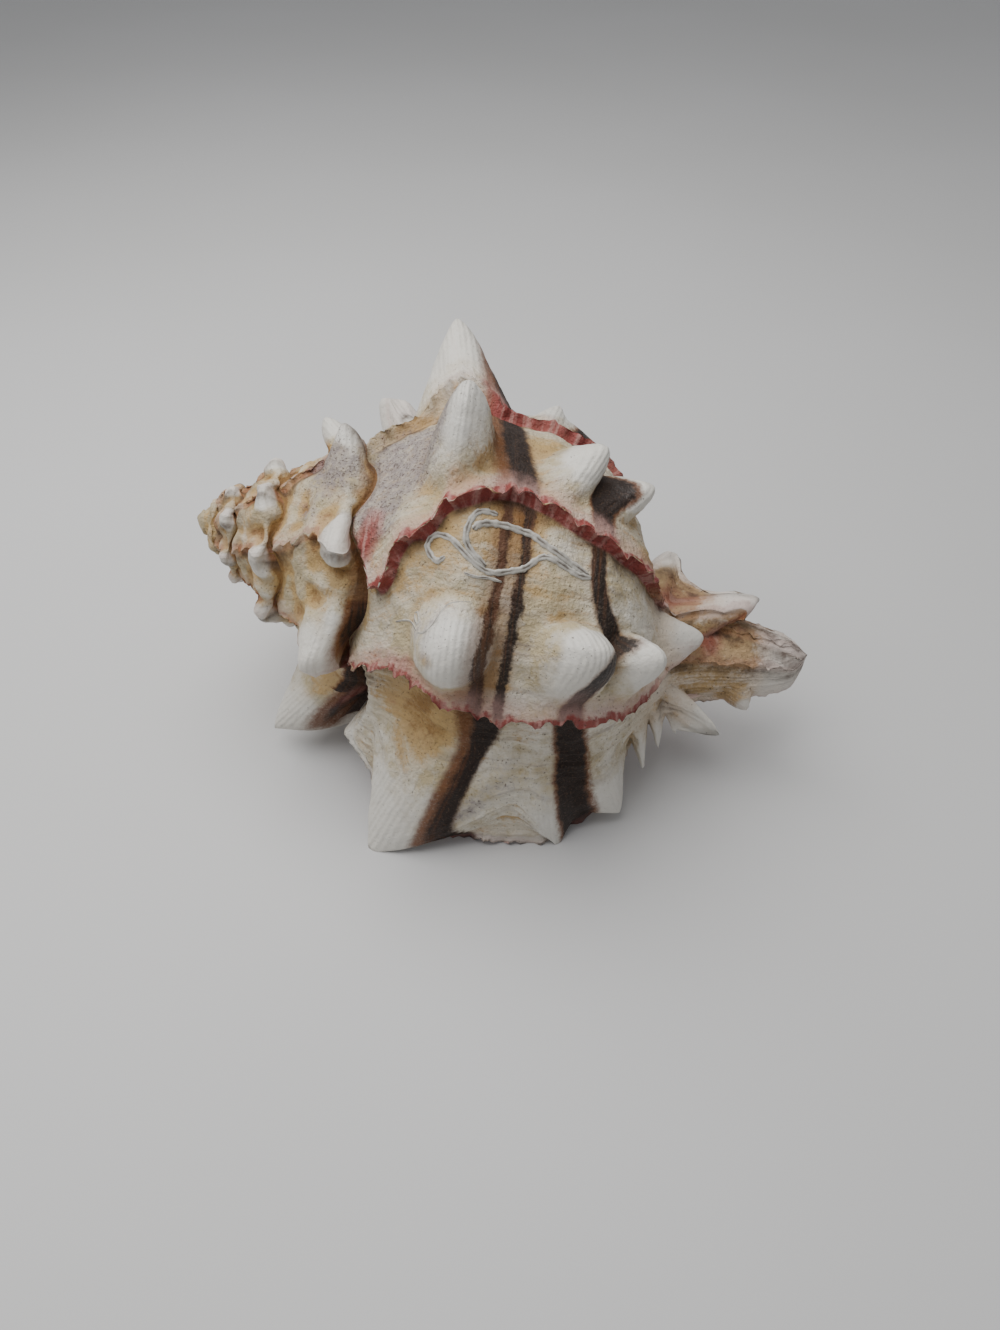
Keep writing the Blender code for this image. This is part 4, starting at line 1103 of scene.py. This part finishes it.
class MurexShellSettings(bpy.types.PropertyGroup):
    """Colours and fine relief of the shell."""
    frill_reach: bpy.props.FloatProperty(name="Frill reach",
                                         description="How far a frilled edge's points reach",
                                         default=0.0009, min=0.0, max=0.003, unit="LENGTH", precision=5)
    wear_depth: bpy.props.FloatProperty(name="Wear depth", description="Depth of the worn lumps and pits",
                                        default=0.00035, min=0.0, max=0.001, unit="LENGTH", precision=5)
    cream: colour_setting("Cream", "Chalky ground colour", "B6A684")
    ivory: colour_setting("Ivory", "Paler clouds in the ground", "D9D2C3")
    flesh: colour_setting("Flesh", "Pinkish cream of the canal", "E2D4C6")
    white: colour_setting("White", "Polished spines", "D8D4CB")
    ochre: colour_setting("Ochre", "Stain in the pores", "B29058")
    # Tan is also painted shade where the stain deepens in the hollows
    tan: colour_setting("Tan", "Deeper stain in the hollows", "86602F")
    amber: colour_setting("Amber", "Borders of the bands", "6B3B14")
    umber: colour_setting("Umber", "Paler streaks of the bands", "523019")
    chocolate: colour_setting("Chocolate", "Darkest streaks of the bands", "1E120B")
    # Ash grey is also painted shade, in the grey streaks along growth and on two knobs and the lip's face
    ash_and_shade_grey: colour_setting("Ash", "Weathered grey-lilac patches", "8E8380")
    rose: colour_setting("Rose", "Folds of the frilled edges", "8A3F39")
    pale_rose: colour_setting("Pale rose", "Pleats of the frilled edges", "C79E94")
    lining: colour_setting("Lining", "Enamel inside the mouth", "F0DCCF")
    # This dark brown is also painted shade under the edges' steps and in the deepest hollows
    dirt_and_shade: colour_setting("Dirt", "Dirt in the crevices", "4A3526")


class MurexTubeSettings(bpy.types.PropertyGroup):
    """Worm tubes cemented on the shoulder."""
    half_width: bpy.props.FloatProperty(name="Half width", description="Half the width of the main tube",
                                        default=0.00052, min=0.0, unit="LENGTH", precision=5)
    chalk: colour_setting("Chalk", "Rims of the tubes", "BDB9B0")
    dust: colour_setting("Dust", "Dust in their grooves", "5F574E")


class MurexStageSettings(bpy.types.PropertyGroup):
    """Floor, light and camera."""
    floor_colour: colour_setting("Floor", "Colour of the table top", "C8C7C5")
    floor_pale: colour_setting("Floor, paler", "Paler places of the table top", "CCCBCA")
    lamp_power: bpy.props.FloatProperty(name="Lamp power", description="Power of the soft main lamp",
                                        default=1.8, min=0.0, unit="POWER")
    sky: bpy.props.FloatProperty(name="Sky light", description="Strength of the light from all round",
                                 default=0.385, min=0.0)
    azimuth: bpy.props.FloatProperty(name="Azimuth", description="Camera's turn from the front",
                                     default=math.radians(9.03), subtype="ANGLE")
    elevation: bpy.props.FloatProperty(name="Elevation", description="Camera's height above the horizon",
                                       default=math.radians(45.0), subtype="ANGLE")
    distance: bpy.props.FloatProperty(name="Distance", description="Camera's distance from its target",
                                      default=0.1848, unit="LENGTH")


class OBJECT_OT_murex_shell(bpy.types.Operator):
    """Grow the murex shell over its plain solid"""
    bl_idname = "object.murex_shell"
    bl_label = "Grow shell"

    def execute(self, context):
        settings = context.scene.murex_shell
        mesh = shell_mesh(settings.frill_reach / MM, settings.wear_depth / MM)
        set_on_floor(mesh)
        open_edges = sum(edge.is_boundary for edge in mesh.edges)
        if open_edges:
            raise RuntimeError("the shell has %d open edges" % open_edges)
        piece = finished("shell", mesh, (bleached_calcite(settings), mouth_enamel(settings)))
        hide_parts(NODE)
        return {"FINISHED"}


class OBJECT_OT_murex_tubes(bpy.types.Operator):
    """Lay the worm tubes on the grown shell"""
    bl_idname = "object.murex_tubes"
    bl_label = "Lay worm tubes"

    def execute(self, context):
        settings = context.scene.murex_tubes
        shell = bpy.data.objects.get("shell")
        if shell is None:
            raise RuntimeError("the worm tubes need the shell")
        ground = bmesh.new()
        ground.from_mesh(shell.data)
        tree = BVHTree.FromBMesh(ground)
        ground.free()
        mesh = bmesh.new()
        mesh.verts.layers.int.new("side")
        mesh.verts.layers.float.new("groove")
        for path, share in WORM_TUBES:
            lay_tube(mesh, tree, path, share * settings.half_width)
        bmesh.ops.recalc_face_normals(mesh, faces=mesh.faces)
        finished("worm_tubes", mesh, (tube_chalk(settings),))
        return {"FINISHED"}


def touch(tree, growth, along):
    """Place and outward normal of the shell's surface, in metres, above a place in shell coordinates."""
    outside, inside = ((Vector(to_space(along, radius, LIP_ANGLE + growth)) + Vector(AXIS_MIDDLE)) * MM
                       for radius in (TOUCH_FROM, 0.0))
    spot, normal, _, _ = tree.ray_cast(outside, (inside - outside).normalized())
    if spot is None:
        raise RuntimeError("a worm tube misses the shell")
    return spot, normal


def lay_tube(mesh, tree, path, half_width):
    """Extrudes a grooved, half sunk ring of points along a path that lies on the shell."""
    steps = np.arange(len(path))
    fine = np.linspace(0, len(path) - 1, TUBE_STEPS * (len(path) - 1) + 1)
    growth = hermite(fine, steps, [p[0] for p in path])
    along = hermite(fine, steps, [p[1] for p in path])
    places = [touch(tree, g, a) for g, a in zip(growth, along)]
    beside = [[spot for spot, _ in places[max(0, i - 1):i + 2]] for i in range(len(places))]
    line = [sum(near, Vector()) / len(near) for near in beside]
    side_layer = mesh.verts.layers.int["side"]
    groove_layer = mesh.verts.layers.float["groove"]
    ring = bmesh.ops.create_circle(mesh, segments=TUBE_SIDES, radius=1.0)["verts"]
    edges = list({edge for vertex in ring for edge in vertex.link_edges})
    first = edges
    for number, vertex in enumerate(ring):
        vertex[side_layer] = number
    for i, spot in enumerate(line):
        if i:
            new = bmesh.ops.extrude_edge_only(mesh, edges=edges)["geom"]
            ring = [item for item in new if isinstance(item, bmesh.types.BMVert)]
            edges = [item for item in new if isinstance(item, bmesh.types.BMEdge)
                     and item.verts[0] in ring and item.verts[1] in ring]
        ahead = (line[min(i + 1, len(line) - 1)] - line[max(i - 1, 0)]).normalized()
        side = ahead.cross(places[i][1]).normalized()
        up = side.cross(ahead)
        wobble = 1 + sum(share * math.sin(waves * i + phase) for share, waves, phase in TUBE_WOBBLE)
        taper = min(1.0, TUBE_END + TUBE_TAPER * min(i, len(line) - 1 - i))
        broken = 0.6 + 0.4 * math.sin(0.9 * i + 0.5)
        for vertex in ring:
            turn = 2 * math.pi * vertex[side_layer] / TUBE_SIDES
            sunk = math.exp(-((turn - math.pi / 2) / TUBE_GROOVE_WIDTH) ** 2) * broken
            vertex[groove_layer] = sunk
            reach = half_width * wobble * taper * (1 - TUBE_GROOVE * sunk)
            vertex.co = spot + side * (reach * math.cos(turn)) + up * (TUBE_RISE * reach * math.sin(turn))
    bmesh.ops.holes_fill(mesh, edges=first, sides=0)
    bmesh.ops.holes_fill(mesh, edges=edges, sides=0)


class OBJECT_OT_murex_stage(bpy.types.Operator):
    """Lay the table top, light it softly and set the camera"""
    bl_idname = "object.murex_stage"
    bl_label = "Set stage"

    def execute(self, context):
        settings = context.scene.murex_stage
        mesh = bmesh.new()
        bmesh.ops.create_grid(mesh, x_segments=1, y_segments=1, size=FLOOR_HALF)
        data = bpy.data.meshes.new("table_top")
        mesh.to_mesh(data)
        mesh.free()
        data.materials.append(table_laminate(settings))
        floor = bpy.data.objects.new("table_top", data)
        context.scene.collection.objects.link(floor)
        soft_light(context.scene, settings)
        set_camera(context.scene, settings)
        return {"FINISHED"}


def soft_light(scene, settings):
    """One wide lamp above and behind to the left, and even light from all round."""
    lamp_data = bpy.data.lights.new("window", "AREA")
    lamp_data.shape = "RECTANGLE"
    lamp_data.size = LAMP_SIZE[0]
    lamp_data.size_y = LAMP_SIZE[1]
    lamp_data.energy = settings.lamp_power
    lamp = bpy.data.objects.new("window", lamp_data)
    lamp.matrix_world = aimed(Vector(LAMP_PLACE), Vector((0, 0, 0)))
    scene.collection.objects.link(lamp)
    world = bpy.data.worlds.new("even_sky")
    world.use_nodes = True
    sky = world.node_tree.nodes["Background"]
    sky.inputs["Color"].default_value = linear("F4F6FA")
    sky.inputs["Strength"].default_value = settings.sky
    scene.world = world


def aimed(spot, target):
    """Matrix of a lamp or camera at a spot that looks at a target, upright."""
    back = (spot - target).normalized()
    right = Vector((0, 0, 1)).cross(back).normalized()
    up = back.cross(right)
    return Matrix.Translation(spot) @ Matrix((right, up, back)).transposed().to_4x4()


def set_camera(scene, settings):
    """The camera at the photograph's angle and distance."""
    back = Vector((math.sin(settings.azimuth) * math.cos(settings.elevation),
                   -math.cos(settings.azimuth) * math.cos(settings.elevation), math.sin(settings.elevation)))
    target = (Vector(AXIS_MIDDLE) + Vector(CAMERA_AIM)) * MM
    camera_data = bpy.data.cameras.new("camera")
    camera_data.sensor_width = SENSOR
    camera_data.lens = SENSOR * FOCAL_PIXELS / PHOTO_HEIGHT
    camera_data.clip_start = 0.001
    camera = bpy.data.objects.new("camera", camera_data)
    camera.matrix_world = aimed(target + back * settings.distance, target)
    scene.collection.objects.link(camera)
    scene.camera = camera


class VIEW3D_PT_murex(bpy.types.Panel):
    """Settings and steps of the murex shell"""
    bl_label = "Murex"
    bl_idname = "VIEW3D_PT_murex"
    bl_space_type = "VIEW_3D"
    bl_region_type = "UI"
    bl_category = "Murex"

    def draw(self, context):
        for operator in OPERATORS:
            self.layout.operator(operator.bl_idname)
        for settings in (context.scene.murex_shell, context.scene.murex_tubes, context.scene.murex_stage):
            box = self.layout.box()
            for name in settings.__annotations__:
                box.prop(settings, name)


OPERATORS = (OBJECT_OT_murex_shell, OBJECT_OT_murex_tubes, OBJECT_OT_murex_stage)
CLASSES = (MurexShellSettings, MurexTubeSettings, MurexStageSettings, *OPERATORS, VIEW3D_PT_murex)


def register():
    for made in CLASSES:
        bpy.utils.register_class(made)
    bpy.types.Scene.murex_shell = bpy.props.PointerProperty(type=MurexShellSettings)
    bpy.types.Scene.murex_tubes = bpy.props.PointerProperty(type=MurexTubeSettings)
    bpy.types.Scene.murex_stage = bpy.props.PointerProperty(type=MurexStageSettings)


def unregister():
    del bpy.types.Scene.murex_stage
    del bpy.types.Scene.murex_tubes
    del bpy.types.Scene.murex_shell
    for made in reversed(CLASSES):
        bpy.utils.unregister_class(made)


def main():
    register()
    bpy.ops.object.murex_shell()
    bpy.ops.object.murex_tubes()
    bpy.ops.object.murex_stage()


if __name__ == "__main__":
    main()
